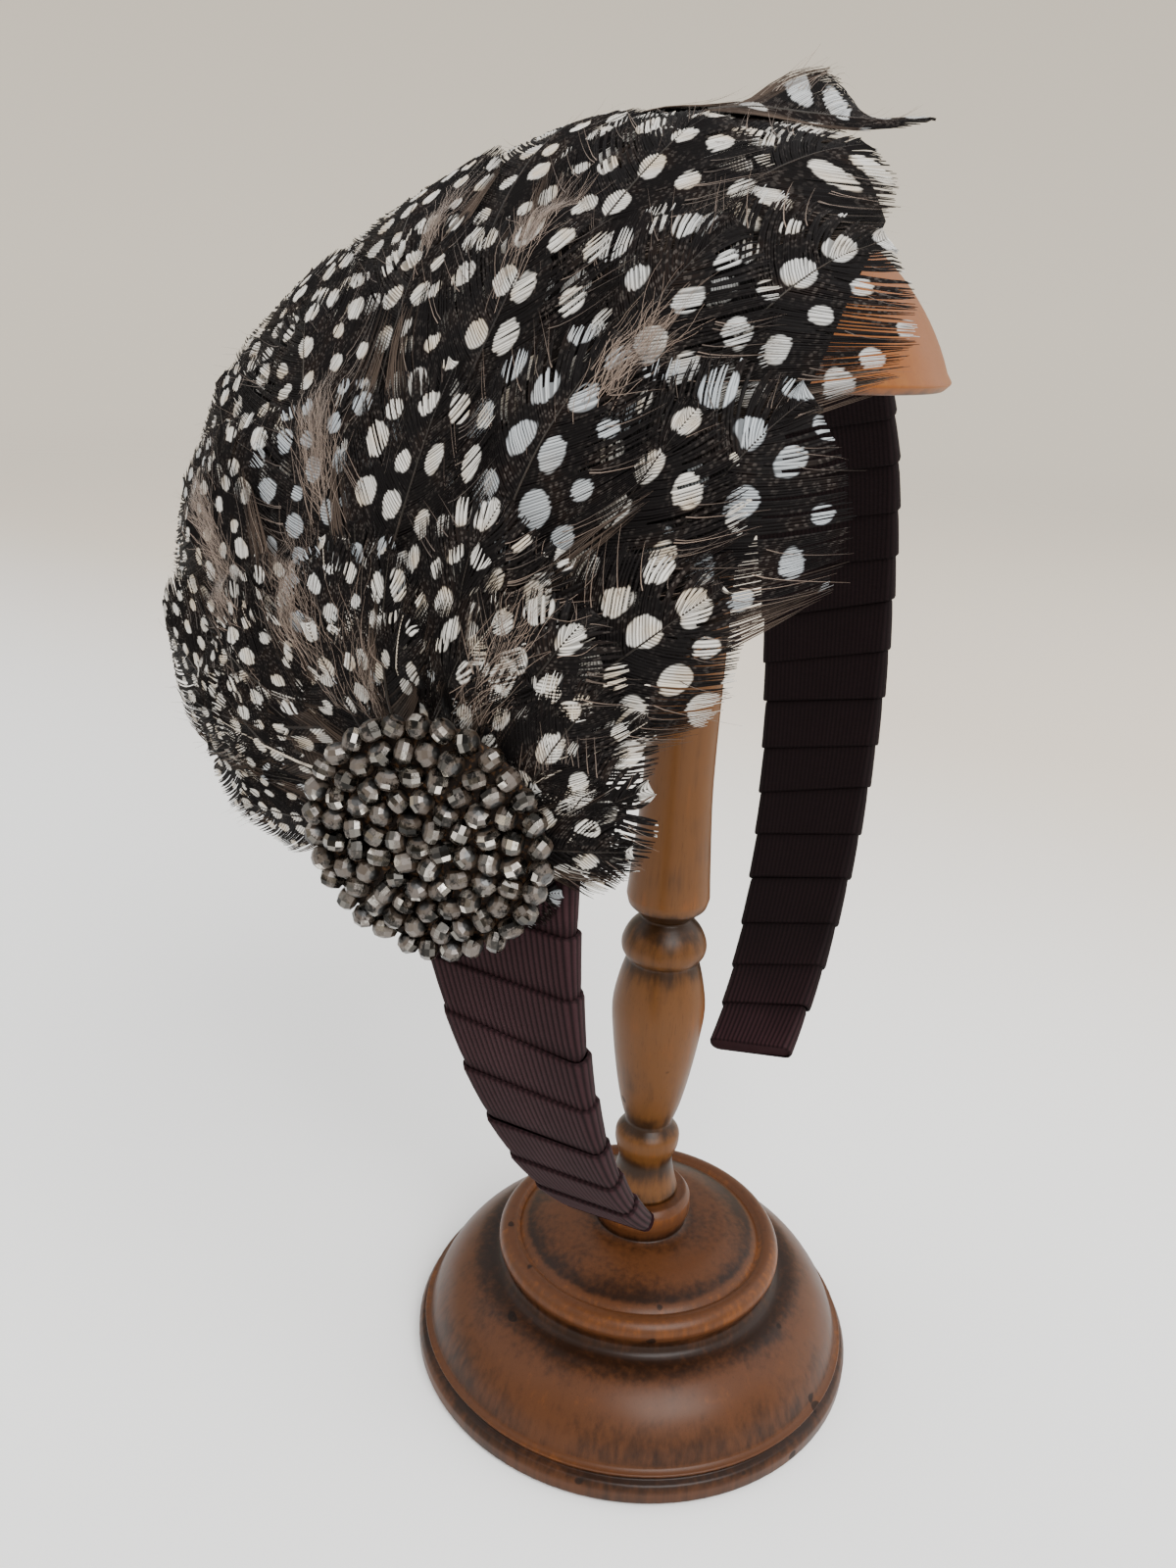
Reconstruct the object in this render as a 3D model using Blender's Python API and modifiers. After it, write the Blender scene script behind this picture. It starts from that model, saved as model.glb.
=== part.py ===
"""Guinea fowl feather headband with a bead ornament, hanging on a small turned stand.

Run with: blender --background --python part.py
Lengths are in millimetres until MM turns them into Blender's metres. The origin is
at the centre of the stand's foot, +Z is up, and the headband's arch runs along X,
with its feathered leg at -X.
"""
import random
from math import ceil, cos, pi, radians, sin

import bmesh
import bpy
import numpy as np
from mathutils import Matrix, Vector

MM = 0.001
GAP = 0.3                      # between pieces that touch or rest

# Stand
FOOT_RADIUS = 42.0
COLLAR_TOP = 34.2              # top of the foot's collar, where the column starts
CAP_UNDERSIDE = 182.5
CAP_RADIUS = 35.0
CAP_HEIGHT = 26.0
DOME_RADIUS = (CAP_RADIUS ** 2 + CAP_HEIGHT ** 2) / (2 * CAP_HEIGHT)
DOME_CENTRE = CAP_UNDERSIDE + CAP_HEIGHT - DOME_RADIUS

# Headband: two half ellipses that meet at the crown, in the arch's own frame,
# whose origin is the centre of the cap's dome
NEAR_HALF_SPAN, NEAR_DROP = 61.0, 81.6
FAR_HALF_SPAN, FAR_DROP = 58.5, 79.0
NEAR_END, FAR_END = radians(-149.0), radians(151.0)
BAND_THICKNESS = 3.0
CROWN_WIDTH, NEAR_END_WIDTH, FAR_END_WIDTH = 29.0, 14.0, 15.0
WIDE_ANGLE = radians(62.0)     # the taper starts this far from the crown
NEAR_SWAY = -2.4               # sideways bend of the feathered leg's end
TURN_PITCH = 9.5               # ribbon wrap along the arch
LAP = 0.45                     # step where one turn of ribbon lies over the next
TURN_SLANT = 0.06
ROCK, LEAN, YAW = radians(6.0), radians(-6.3), radians(-4.6)

# Feather pad: a shell over the arch, with its own roundness to each side
SHELL_OFFSET = 4.2             # from the band's middle layer to the pad's underside
LEFT_ROUND, RIGHT_ROUND = 130.0, 75.0
BACKING_THICKNESS = 1.0
FAN_ANGLE = radians(-95.5)     # the place on the arch that the feathers fan out from
FAN_SIDE = 9.0                 # and how far it is from the band's middle line
ORNAMENT_ALONG = 6.0           # the ornament's middle, from the fan's
ORNAMENT_SIDE = -7.3
ORNAMENT_TILT = radians(11.0)  # its upper edge stands off the pad
ORNAMENT_TURN = radians(12.0)  # and so does the edge towards the fan's middle
ORNAMENT_RADIUS = 15.0
BEAD_RADIUS = 1.45
BEAD_RINGS = 5

# Feathers
FEATHER_LENGTH = 40.0
FEATHER_THICKNESS = 0.35
ROW_STEP = 24.0                # from one row of tips to the next, towards the ornament
TIP_SPACING = 24.0             # between the tips in one row
INNERMOST_TIP = 30.0           # least distance from the ornament's middle to a tip
REACH_SHARE = 0.56             # a feather near the ornament is this share of its tip's distance
CLEARANCE = 0.3
SEED = 11


def clear_scene():
    for item in list(bpy.data.objects):
        bpy.data.objects.remove(item, do_unlink=True)


def new_collection(name):
    collection = bpy.data.collections.new(name)
    bpy.context.scene.collection.children.link(collection)
    return collection


def material(name, colour, roughness, metallic=0.0):
    made = bpy.data.materials.new(name)
    made.use_nodes = True
    shader = made.node_tree.nodes["Principled BSDF"]
    shader.inputs["Base Color"].default_value = (*colour, 1.0)
    shader.inputs["Roughness"].default_value = roughness
    shader.inputs["Metallic"].default_value = metallic
    return made


def add_object(name, mesh, finish, collection, parent=None):
    made = bpy.data.objects.new(name, mesh)
    mesh.materials.append(finish)
    collection.objects.link(made)
    made.parent = parent
    return made


def mesh_from(name, bm):
    mesh = bpy.data.meshes.new(name)
    bm.to_mesh(mesh)
    bm.free()
    return mesh


# Turned wood

def arc(centre, radius, start, end, steps):
    """Points (r, z) of an arc, its angles in degrees from the +r direction."""
    angles = [radians(start + (end - start) * i / steps) for i in range(steps + 1)]
    return [(centre[0] + radius * cos(a), centre[1] + radius * sin(a)) for a in angles]


def turned(name, profile, segments, finish, collection, parent=None):
    """A profile of (r, z) from the top of the axis down to its foot, spun about Z."""
    bm = bmesh.new()
    verts = [bm.verts.new((r * MM, 0.0, z * MM)) for r, z in profile]
    for upper, lower in zip(verts, verts[1:]):
        bm.edges.new((upper, lower))
    made = add_object(name, mesh_from(name, bm), finish, collection, parent)
    spin = made.modifiers.new("Turning", "SCREW")
    spin.steps = spin.render_steps = segments
    spin.use_merge_vertices = True
    spin.merge_threshold = 0.00001
    spin.use_smooth_shade = True
    return made


def foot_profile():
    collar = [(0.0, COLLAR_TOP), (8.2, COLLAR_TOP), (9.1, 33.0), (9.3, 30.4), (8.6, 27.9)]
    low_dome = [(10.4, 27.6), (17.0, 26.7), (21.6, 25.0), (23.3, 23.9)]
    ring = arc((24.6, 22.4), 2.4, 105, -25, 4)
    hollow = [(26.6, 18.3), (27.6, 17.7)]
    shoulder = [(31.5, 16.9), (35.2, 14.1), (38.0, 10.2), (39.6, 6.3)]
    rim = [(40.9, 5.7), (40.2, 4.5), (41.4, 4.1), (FOOT_RADIUS, 3.0), (FOOT_RADIUS, 0.8), (41.2, 0.0)]
    return collar + low_dome + ring + hollow + shoulder + rim + [(0.0, 0.0)]


def column_profile():
    top = CAP_UNDERSIDE - GAP
    head = [(0.0, top), (9.0, top), (9.0, top - 3.5), (6.4, top - 7.5)]
    shaft = [(6.0, 160.0), (6.0, 117.0), (6.7, 104.0), (7.3, 95.6), (6.9, 94.0)]
    neck_ring = [(4.4, 91.4), (6.4, 88.8), (7.5, 86.8), (7.4, 84.9), (6.3, 83.4)]
    vase = [(7.6, 79.0), (8.4, 73.7), (7.9, 67.6), (6.9, 60.5), (5.6, 53.8), (4.1, 49.0)]
    foot_rings = [(5.8, 47.2), (5.8, 44.2), (5.0, 41.4), (5.7, 37.6), (6.6, COLLAR_TOP + GAP)]
    return head + shaft + neck_ring + vase + foot_rings + [(0.0, COLLAR_TOP + GAP)]


def cap_profile():
    edge = 1.2
    dome = [(DOME_RADIUS * sin(radians(a)), DOME_CENTRE + DOME_RADIUS * cos(radians(a)))
            for a in range(0, 71, 10)]
    return dome + [(CAP_RADIUS, CAP_UNDERSIDE + edge), (CAP_RADIUS - edge, CAP_UNDERSIDE),
                   (0.0, CAP_UNDERSIDE)]


# The arch and the shell that the feathers lie on, in the arch's own frame

def arch_normal(angle):
    span = np.where(angle < 0, NEAR_HALF_SPAN, FAR_HALF_SPAN)
    drop = np.where(angle < 0, NEAR_DROP, FAR_DROP)
    normal = np.stack([np.sin(angle) / span, 0 * angle, np.cos(angle) / drop], -1)
    return normal / np.linalg.norm(normal, axis=-1, keepdims=True)


def arch_point(angle, offset=0.0):
    """A point of the band's middle layer, moved outwards by offset."""
    angle = np.asarray(angle, float)
    span = np.where(angle < 0, NEAR_HALF_SPAN, FAR_HALF_SPAN)
    drop = np.where(angle < 0, NEAR_DROP, FAR_DROP)
    crown = DOME_RADIUS + GAP + BAND_THICKNESS / 2
    point = np.stack([span * np.sin(angle), 0 * angle, crown - drop * (1 - np.cos(angle))], -1)
    return point + arch_normal(angle) * offset


ANGLES = np.radians(np.linspace(-170.0, 170.0, 681))
STEPS = np.linalg.norm(np.diff(arch_point(ANGLES, SHELL_OFFSET), axis=0), axis=1)
LENGTHS = np.concatenate([[0.0], np.cumsum(STEPS)])
LENGTHS -= np.interp(0.0, ANGLES, LENGTHS)
FAN_ALONG = float(np.interp(FAN_ANGLE, ANGLES, LENGTHS))
FAN = np.array([FAN_ALONG, FAN_SIDE])


def shell_frame(along, side):
    """Point, outward normal and round of the shell at a distance along the arch and to its side."""
    along, side = np.broadcast_arrays(np.asarray(along, float), np.asarray(side, float))
    angle = np.interp(along, LENGTHS, ANGLES)
    radius = np.where(side > 0, LEFT_ROUND, RIGHT_ROUND)
    up = arch_normal(angle)
    turn = (side / radius)[..., None]
    normal = up * np.cos(turn) + np.array([0.0, 1.0, 0.0]) * np.sin(turn)
    point = arch_point(angle, SHELL_OFFSET) + radius[..., None] * (normal - up)
    return point, normal


def shell_point(along, side, height):
    point, normal = shell_frame(along, side)
    return point + normal * np.asarray(height, float)[..., None]


class Stack:
    """How high the pad has grown above the shell, cell by cell, as each piece is laid."""

    CELL = 1.0
    START = np.array([FAN_ALONG - 70.0, -100.0])
    SHAPE = (250, 210)

    def __init__(self, height):
        self.top = np.full(self.SHAPE, float(height))

    def cell(self, along, side, shift=0.0):
        index = np.floor((np.stack([along, side], -1) - self.START) / self.CELL + shift).astype(int)
        return index[..., 0], index[..., 1]

    def height(self, along, side):
        return self.top[self.cell(along, side)]

    def raise_to(self, along, side, height):
        """Raise the four cells nearest to each place."""
        row, column = self.cell(along, side, -0.5)
        for i in (0, 1):
            for j in (0, 1):
                np.maximum.at(self.top, (row + i, column + j), height)


# Headband

def band_width(angle):
    end = NEAR_END if angle < 0 else FAR_END
    end_width = NEAR_END_WIDTH if angle < 0 else FAR_END_WIDTH
    share = (abs(angle) - WIDE_ANGLE) / (abs(end) - WIDE_ANGLE)
    return CROWN_WIDTH + (end_width - CROWN_WIDTH) * min(max(share, 0.0), 1.0)


def band_sway(angle):
    """The feathered leg bends a little to one side below the ornament."""
    return NEAR_SWAY * min(max((-angle - radians(50)) / radians(100), 0.0), 1.0)


def band_ring(angle, lap):
    """Eight points round the wrapped band, its outer face raised by lap."""
    half, deep, edge = band_width(angle) / 2, BAND_THICKNESS / 2, 1.0
    section = [(half - edge, deep + lap), (half, deep - edge + lap), (half, edge - deep),
               (half - edge, -deep), (edge - half, -deep), (-half, edge - deep),
               (-half, deep - edge + lap), (edge - half, deep + lap)]
    ring = []
    for across, out in section:
        turned_angle = angle + TURN_SLANT * across / CROWN_WIDTH
        ring.append(arch_point(turned_angle, out) + np.array([0.0, across + band_sway(angle), 0.0]))
    return ring


def headband(finish, collection, parent):
    along = np.interp([NEAR_END, FAR_END], ANGLES, LENGTHS)
    turns = ceil((along[1] - along[0]) / TURN_PITCH)
    edges = np.interp(np.linspace(along[0], along[1], turns + 1), LENGTHS, ANGLES)
    rings = []
    for start, end in zip(edges, edges[1:]):
        rings.append(band_ring(start + 0.004, 0.0))
        rings.append(band_ring(end, LAP))
    bm = bmesh.new()
    loops = [[bm.verts.new(Vector(point) * MM) for point in ring] for ring in rings]
    count = len(loops[0])
    for lower, upper in zip(loops, loops[1:]):
        for i in range(count):
            j = (i + 1) % count
            bm.faces.new((lower[i], lower[j], upper[j], upper[i]))
    bm.faces.new(list(reversed(loops[0])))
    bm.faces.new(loops[-1])
    bmesh.ops.recalc_face_normals(bm, faces=bm.faces)
    return add_object("headband", mesh_from("headband", bm), finish, collection, parent)


# Felt backing

def backing(finish, collection, parent):
    """A shaped piece of felt: its reach to each side, by distance along from the fan's middle."""
    reach_along = [-4.0, 8.0, 30.0, 60.0, 92.0, 120.0]
    reach_left = [12.0, 28.0, 46.0, 54.0, 48.0, 22.0]
    reach_right = [5.0, 13.0, 25.0, 35.0, 37.0, 22.0]
    rows, columns = 10, 7
    bm = bmesh.new()
    bmesh.ops.create_grid(bm, x_segments=rows - 1, y_segments=columns - 1, size=0.5)
    for vert in bm.verts:
        along = reach_along[0] + (vert.co.x + 0.5) * (reach_along[-1] - reach_along[0])
        left = np.interp(along, reach_along, reach_left)
        right = np.interp(along, reach_along, reach_right)
        side = -right + (vert.co.y + 0.5) * (left + right)
        vert.co = Vector(shell_point(FAN_ALONG + along, side, 0.0)) * MM
    bmesh.ops.recalc_face_normals(bm, faces=bm.faces)
    made = add_object("feather_backing", mesh_from("feather_backing", bm), finish, collection, parent)
    thicken(made, BACKING_THICKNESS)
    return made


def thicken(item, thickness):
    wall = item.modifiers.new("Thickness", "SOLIDIFY")
    wall.thickness = thickness * MM
    wall.offset = 1.0
    return wall


# Feathers

# Outline of the feathers, as (degrees from straight up the arch, distance from the fan's middle)
PAD_OUTLINE = [(-100, 28), (-84, 31), (-64, 37), (-50, 50), (-37, 75), (-27, 101), (-15, 123),
               (0, 133), (15, 134), (26, 126), (37, 108), (48, 84), (60, 63), (75, 43), (88, 30),
               (95, 27)]
# Feathers that stand off the pad, laid last: bearing and distance of the tip, length, width,
# rise of the tip and turn away from the bearing
STANDING = [(-10.0, 131.0, 27.0, 13.0, 8.7, -48.0), (-17.0, 133.0, 30.0, 15.0, 4.7, -30.0)]
# Vane width by share of the feather's length
VANE = [(0.0, 0.3), (0.2, 0.68), (0.42, 0.94), (0.62, 1.0), (0.8, 0.85), (0.93, 0.53), (1.0, 0.1)]


def outline_radius(bearing):
    degrees, radius = zip(*PAD_OUTLINE)
    return np.interp(np.degrees(bearing), degrees, radius)


def row_bearings(row):
    """Bearings of the tips of one row, evenly spaced along the row's own outline."""
    bearings = np.radians(np.linspace(PAD_OUTLINE[0][0], PAD_OUTLINE[-1][0], 400))
    radius = outline_radius(bearings) - row * ROW_STEP
    bearings, radius = bearings[radius > INNERMOST_TIP], radius[radius > INNERMOST_TIP]
    if len(bearings) < 2:
        return []
    points = np.stack([radius * np.cos(bearings), radius * np.sin(bearings)], -1)
    travelled = np.concatenate([[0.0], np.cumsum(np.linalg.norm(np.diff(points, axis=0), axis=1))])
    count = max(int(round(travelled[-1] / TIP_SPACING)), 1)
    places = (np.arange(count) + 0.5) * travelled[-1] / count
    return list(np.interp(places, travelled, bearings))


class Feather:
    """One vane's outline on the shell, from the quill's end to the tip."""

    def __init__(self, bearing, tip_distance, length, width, lift, twist, bend):
        self.length = length
        self.width = width
        self.crown = 0.02 * width
        self.lift = lift
        self.heading = bearing + twist
        self.bend = bend / length
        self.tip = np.array([tip_distance * cos(bearing), tip_distance * sin(bearing)])

    def quill_distance(self):
        return float(np.linalg.norm(self.outline()[0, 1] - FAN))

    def outline(self):
        """Grid of places on the shell: one row for each share of the length, three across."""
        shares = np.array([share for share, _ in VANE])
        widths = np.array([width for _, width in VANE]) * self.width / 2
        fine = np.linspace(1.0, 0.0, 61)
        turns = self.heading - self.bend * self.length * (1.0 - fine)
        step = self.length / 60
        path = self.tip - step * np.concatenate(
            [[[0.0, 0.0]], np.cumsum(np.stack([np.cos(turns), np.sin(turns)], -1), axis=0)[:-1]])
        centre = np.stack([np.interp(shares, fine[::-1], path[::-1, k]) for k in (0, 1)], -1)
        turn = np.interp(shares, fine[::-1], turns[::-1])
        across = np.stack([-np.sin(turn), np.cos(turn)], -1)
        offsets = np.array([-1.0, 0.0, 1.0])[None, :, None]
        grid = centre[:, None] + across[:, None] * widths[:, None, None] * offsets
        return grid + FAN

    def resting_heights(self, floor):
        shares = np.array([share for share, _ in VANE])[:, None]
        middle = np.array([0.0, 1.0, 0.0])[None, :]
        return floor + self.crown * middle * np.sin(shares * pi) + self.lift * shares ** 3


def cell_samples(steps=17):
    """Shares of a cell's four corners at even places, for either way of splitting the cell."""
    u, w = np.meshgrid(np.linspace(0, 1, steps), np.linspace(0, 1, steps), indexing="ij")
    u, w = u.ravel(), w.ravel()
    rising = np.where((u >= w)[:, None], np.stack([1 - u, u - w, w, 0 * u], -1),
                      np.stack([1 - w, 0 * u, u, w - u], -1))
    falling = np.where((u + w <= 1)[:, None], np.stack([1 - u - w, u, 0 * u, w], -1),
                       np.stack([0 * u, 1 - w, u + w - 1, 1 - u], -1))
    return rising, falling


SPLITS = cell_samples()


def lay(places, heights, stack, thickness, rounds=40):
    """Raise a vane's points until each of its flat faces clears what already lies below."""
    rows, columns = heights.shape
    cells = [((i, j), (i + 1, j), (i + 1, j + 1), (i, j + 1))
             for i in range(rows - 1) for j in range(columns - 1)]
    corners = np.array(cells)
    row, column = corners[..., 0], corners[..., 1]
    for attempt in range(rounds):
        points = shell_point(places[..., 0], places[..., 1], heights)
        worst = np.zeros_like(heights)
        tops = []
        for shares in SPLITS:
            sample = np.einsum("nk,ckd->cnd", shares, points[row, column])
            spot = np.einsum("nk,ckd->cnd", shares, places[row, column])
            base, normal = shell_frame(spot[..., 0], spot[..., 1])
            height = np.sum((sample - base) * normal, axis=-1)
            lack = stack.height(spot[..., 0], spot[..., 1]) + CLEARANCE - height
            lack = np.maximum(lack, 0.0)
            push = np.max(lack[..., None] * shares[None], axis=1)
            np.maximum.at(worst, (row, column), push)
            tops.append((spot, height))
        if worst.max() < 0.01:
            break
        heights = heights + worst
    for spot, height in tops:
        stack.raise_to(spot[..., 0], spot[..., 1], height + thickness * 1.1)
    return heights


def vane_mesh(name, points):
    rows, columns = points.shape[:2]
    bm = bmesh.new()
    bmesh.ops.create_grid(bm, x_segments=rows - 1, y_segments=columns - 1, size=0.5)
    for vert in bm.verts:
        i = int(round((vert.co.x + 0.5) * (rows - 1)))
        j = int(round((vert.co.y + 0.5) * (columns - 1)))
        vert.co = Vector(points[i, j]) * MM
    return mesh_from(name, bm)


def lying_feather(bearing, tip_distance, dice):
    length = min(FEATHER_LENGTH, REACH_SHARE * tip_distance) * dice.uniform(0.94, 1.04)
    twist = radians(dice.uniform(-7.0, 7.0))
    bend = radians(dice.uniform(-14.0, 14.0))
    width = (6.0 + 0.6 * length) * dice.uniform(0.94, 1.06)
    lift = dice.uniform(0.1, 0.8)
    return Feather(bearing, tip_distance, length, width, lift, twist, bend)


def feather_plan():
    """Lying feathers, those whose quills start farthest from the ornament first, then standing."""
    dice = random.Random(SEED)
    plan = []
    for row in range(6):
        for bearing in row_bearings(row):
            distance = float(outline_radius(bearing)) - row * ROW_STEP
            plan.append(lying_feather(bearing, distance + dice.uniform(-2.5, 2.5), dice))
    plan.sort(key=lambda feather: -feather.quill_distance())
    for degrees, distance, length, width, rise, turn in STANDING:
        plan.append(Feather(radians(degrees), distance, length, width, rise, radians(turn), 0.0))
    return plan


def feathers(finish, collection, parent, stack):
    for number, feather in enumerate(feather_plan(), start=1):
        places = feather.outline()
        heights = lay(places, feather.resting_heights(BACKING_THICKNESS + GAP), stack,
                      FEATHER_THICKNESS)
        name = f"feather_{number:02d}"
        points = shell_point(places[..., 0], places[..., 1], heights)
        made = add_object(name, vane_mesh(name, points), finish, collection, parent)
        thicken(made, FEATHER_THICKNESS)


# Bead ornament

def ornament_place(stack):
    """Where the patch rests on the feathers' quills, with its own Z outwards."""
    middle = FAN + [ORNAMENT_ALONG, ORNAMENT_SIDE]
    base, normal = shell_frame(*middle)
    ahead = shell_frame(middle[0] + 1.0, middle[1])[0] - base
    ahead = (Vector(ahead) - Vector(ahead).dot(Vector(normal)) * Vector(normal)).normalized()
    outward = Vector(normal) * cos(ORNAMENT_TILT) - ahead * sin(ORNAMENT_TILT)
    upward = ahead * cos(ORNAMENT_TILT) + Vector(normal) * sin(ORNAMENT_TILT)
    outward = Matrix.Rotation(ORNAMENT_TURN, 3, upward) @ outward
    radius, angle = np.meshgrid(np.linspace(0.0, ORNAMENT_RADIUS, 9), np.linspace(0.0, 2 * pi, 25))
    along = middle[0] + radius.ravel() * np.cos(angle.ravel())
    side = middle[1] + radius.ravel() * np.sin(angle.ravel())
    below = shell_point(along, side, stack.height(along, side))
    rest = float(np.max((below - base) @ np.array(outward))) + GAP
    place = Matrix((upward, outward.cross(upward), outward)).transposed().to_4x4()
    place.translation = (Vector(base) + outward * rest) * MM
    return place


def ornament(beads_finish, collection, cutters, parent, stack):
    """A domed patch with rings of beads, laid on the feathers' quills."""
    place = ornament_place(stack)
    dome_rise, rim = 1.6, 1.0
    patch_radius = ORNAMENT_RADIUS - BEAD_RADIUS * 0.4
    profile = [(0.0, rim + dome_rise), (patch_radius * 0.55, rim + dome_rise * 0.72),
               (patch_radius, rim), (patch_radius, 0.0), (0.0, 0.0)]
    patch = turned("bead_ornament", profile, 20, beads_finish, collection, parent)
    patch.matrix_local = place

    bm = bmesh.new()
    pitch = (ORNAMENT_RADIUS - BEAD_RADIUS * 0.55) / BEAD_RINGS
    for ring in range(BEAD_RINGS + 1):
        for k in range(max(6 * ring, 1)):
            angle = 2 * pi * (k + 0.3 * ring) / max(6 * ring, 1)
            radius = pitch * ring
            height = rim + dome_rise * (1 - (radius / patch_radius) ** 2) + BEAD_RADIUS * 0.45
            spot = Vector((radius * cos(angle), radius * sin(angle), height)) * MM
            turn = Matrix.Rotation(1.7 * k + ring, 4, Vector((1.0, 0.6, 0.3)).normalized())
            bmesh.ops.create_uvsphere(bm, u_segments=4, v_segments=3,
                                      radius=BEAD_RADIUS * MM * 0.96,
                                      matrix=Matrix.Translation(spot) @ turn)
    beads = add_object("bead_cutter", mesh_from("bead_cutter", bm), beads_finish, cutters, parent)
    beads.matrix_local = place
    beads.hide_render = True
    beads.display_type = "WIRE"
    union = patch.modifiers.new("Beads", "BOOLEAN")
    union.operation = "UNION"
    union.solver = "EXACT"
    union.object = beads
    return patch


def build():
    clear_scene()
    parts = new_collection("feather_headband")
    cutters = new_collection("cutters")
    wood = material("varnished_wood", (0.20, 0.085, 0.03), 0.3)
    ribbon = material("ribbed_ribbon", (0.032, 0.016, 0.02), 0.75)
    felt = material("black_felt", (0.02, 0.018, 0.018), 0.95)
    plumage = material("guinea_fowl_feather", (0.05, 0.045, 0.045), 0.55)
    steel = material("cut_steel_beads", (0.42, 0.38, 0.35), 0.3, 0.9)

    turned("stand_base", foot_profile(), 26, wood, parts)
    turned("stand_column", column_profile(), 16, wood, parts)
    turned("stand_cap", cap_profile(), 26, wood, parts)

    rest = bpy.data.objects.new("headband_rest", None)
    parts.objects.link(rest)
    rest.location = (0.0, 0.0, DOME_CENTRE * MM)
    rest.rotation_mode = "YXZ"
    rest.rotation_euler = (LEAN, ROCK, YAW)

    headband(ribbon, parts, rest)
    backing(felt, parts, rest)
    stack = Stack(BACKING_THICKNESS)
    feathers(plumage, parts, rest, stack)
    ornament(steel, parts, cutters, rest, stack)


build()
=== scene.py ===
"""Looks of the guinea fowl feather headband that hangs on its small turned stand.

Lengths are in millimetres until MM turns them into Blender's metres. The origin is at
the centre of the stand's foot, +Z is up, and the headband's feathered leg is at -X.
"""

import random
from math import atan2, ceil, cos, pi, radians, sin

import bmesh
import bpy
import numpy as np
from bpy.props import (FloatProperty, FloatVectorProperty, IntProperty,
                       PointerProperty)
from bpy.types import Operator, Panel, PropertyGroup
from mathutils import Euler, Matrix, Vector
from mathutils.bvhtree import BVHTree


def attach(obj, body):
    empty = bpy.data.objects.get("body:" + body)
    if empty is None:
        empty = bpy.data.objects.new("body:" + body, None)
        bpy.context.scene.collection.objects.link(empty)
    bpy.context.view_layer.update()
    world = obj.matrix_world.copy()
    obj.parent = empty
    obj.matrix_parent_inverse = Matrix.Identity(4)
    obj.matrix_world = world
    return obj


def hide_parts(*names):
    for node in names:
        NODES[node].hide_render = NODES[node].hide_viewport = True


bl_info = {
    "name": "Feather headband on its stand",
    "version": (1, 0, 0),
    "blender": (4, 5, 0),
    "location": "View3D > Sidebar > Headband",
    "description": "Feathers, beads, ribbon, felt and turned wood for the packed headband",
    "category": "Object",
}

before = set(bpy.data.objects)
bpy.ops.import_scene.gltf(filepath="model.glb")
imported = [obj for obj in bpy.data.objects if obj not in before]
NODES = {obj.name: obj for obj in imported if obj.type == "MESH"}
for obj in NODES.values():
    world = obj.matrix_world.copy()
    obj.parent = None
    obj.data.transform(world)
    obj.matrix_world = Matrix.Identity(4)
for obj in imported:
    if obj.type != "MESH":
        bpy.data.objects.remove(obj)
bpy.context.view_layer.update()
BODY = "root"
MM = 0.001

# The stand and the headband's arch, with the sizes of the solids
FOOT_RADIUS = 42.0
COLLAR_TOP = 34.2
CAP_UNDERSIDE = 182.5
CAP_RADIUS = 35.0
CAP_HEIGHT = 26.0
GAP = 0.3
DOME_RADIUS = (CAP_RADIUS ** 2 + CAP_HEIGHT ** 2) / (2 * CAP_HEIGHT)
DOME_CENTRE = CAP_UNDERSIDE + CAP_HEIGHT - DOME_RADIUS
NEAR_HALF_SPAN, NEAR_DROP = 61.0, 81.6
FAR_HALF_SPAN, FAR_DROP = 58.5, 79.0
NEAR_END, FAR_END = radians(-149.0), radians(151.0)
BAND_THICKNESS = 3.0
CROWN_WIDTH, NEAR_END_WIDTH, FAR_END_WIDTH = 29.0, 14.0, 15.0
WIDE_ANGLE = radians(62.0)
NEAR_SWAY = -2.4
TURN_PITCH = 9.5
TURN_SLANT = 0.06
REST = (Matrix.Translation((0.0, 0.0, DOME_CENTRE))
        @ Euler((radians(-6.3), radians(6.0), radians(-4.6)), "YXZ").to_matrix().to_4x4())

# The shell that the feathers lie on
SHELL_OFFSET = 4.2
LEFT_ROUND, RIGHT_ROUND = 130.0, 75.0
FAN_ANGLE = radians(-95.5)
FAN_SIDE = 9.0
ORNAMENT_ALONG, ORNAMENT_SIDE = 6.0, -7.3
ORNAMENT_TILT, ORNAMENT_TURN = radians(11.0), radians(12.0)
ORNAMENT_RADIUS = 15.0
BEAD_RADIUS = 1.45
BEAD_RINGS = 5

# The feathers, as the solids lay them
FEATHER_LENGTH = 40.0
ROW_STEP = 24.0
TIP_SPACING = 24.0
INNERMOST_TIP = 30.0
REACH_SHARE = 0.56
FEATHER_SEED = 11
PAD_OUTLINE = [(-100, 28), (-84, 31), (-64, 37), (-50, 50), (-37, 75), (-27, 101), (-15, 123),
               (0, 133), (15, 134), (26, 126), (37, 108), (48, 84), (60, 63), (75, 43), (88, 30),
               (95, 27)]
STANDING = [(-10.0, 131.0, 27.0, 13.0, 8.7, -48.0), (-17.0, 133.0, 30.0, 15.0, 4.7, -30.0)]
VANE = [(0.0, 0.3), (0.2, 0.68), (0.42, 0.94), (0.62, 1.0), (0.8, 0.85), (0.93, 0.53), (1.0, 0.1)]
BARB_ROWS = [0.0, 0.12, 0.27, 0.43, 0.58, 0.73, 0.88, 1.0]
PATH_STEPS = 60
PLAN_TOLERANCE = 0.3
BARB_SEED = 700

# Spots run into bars on feathers whose tips lie this far along and between these sides
BARRED_FROM = 104.0
BARRED_SIDES = (-62.0, -8.0)

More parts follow.
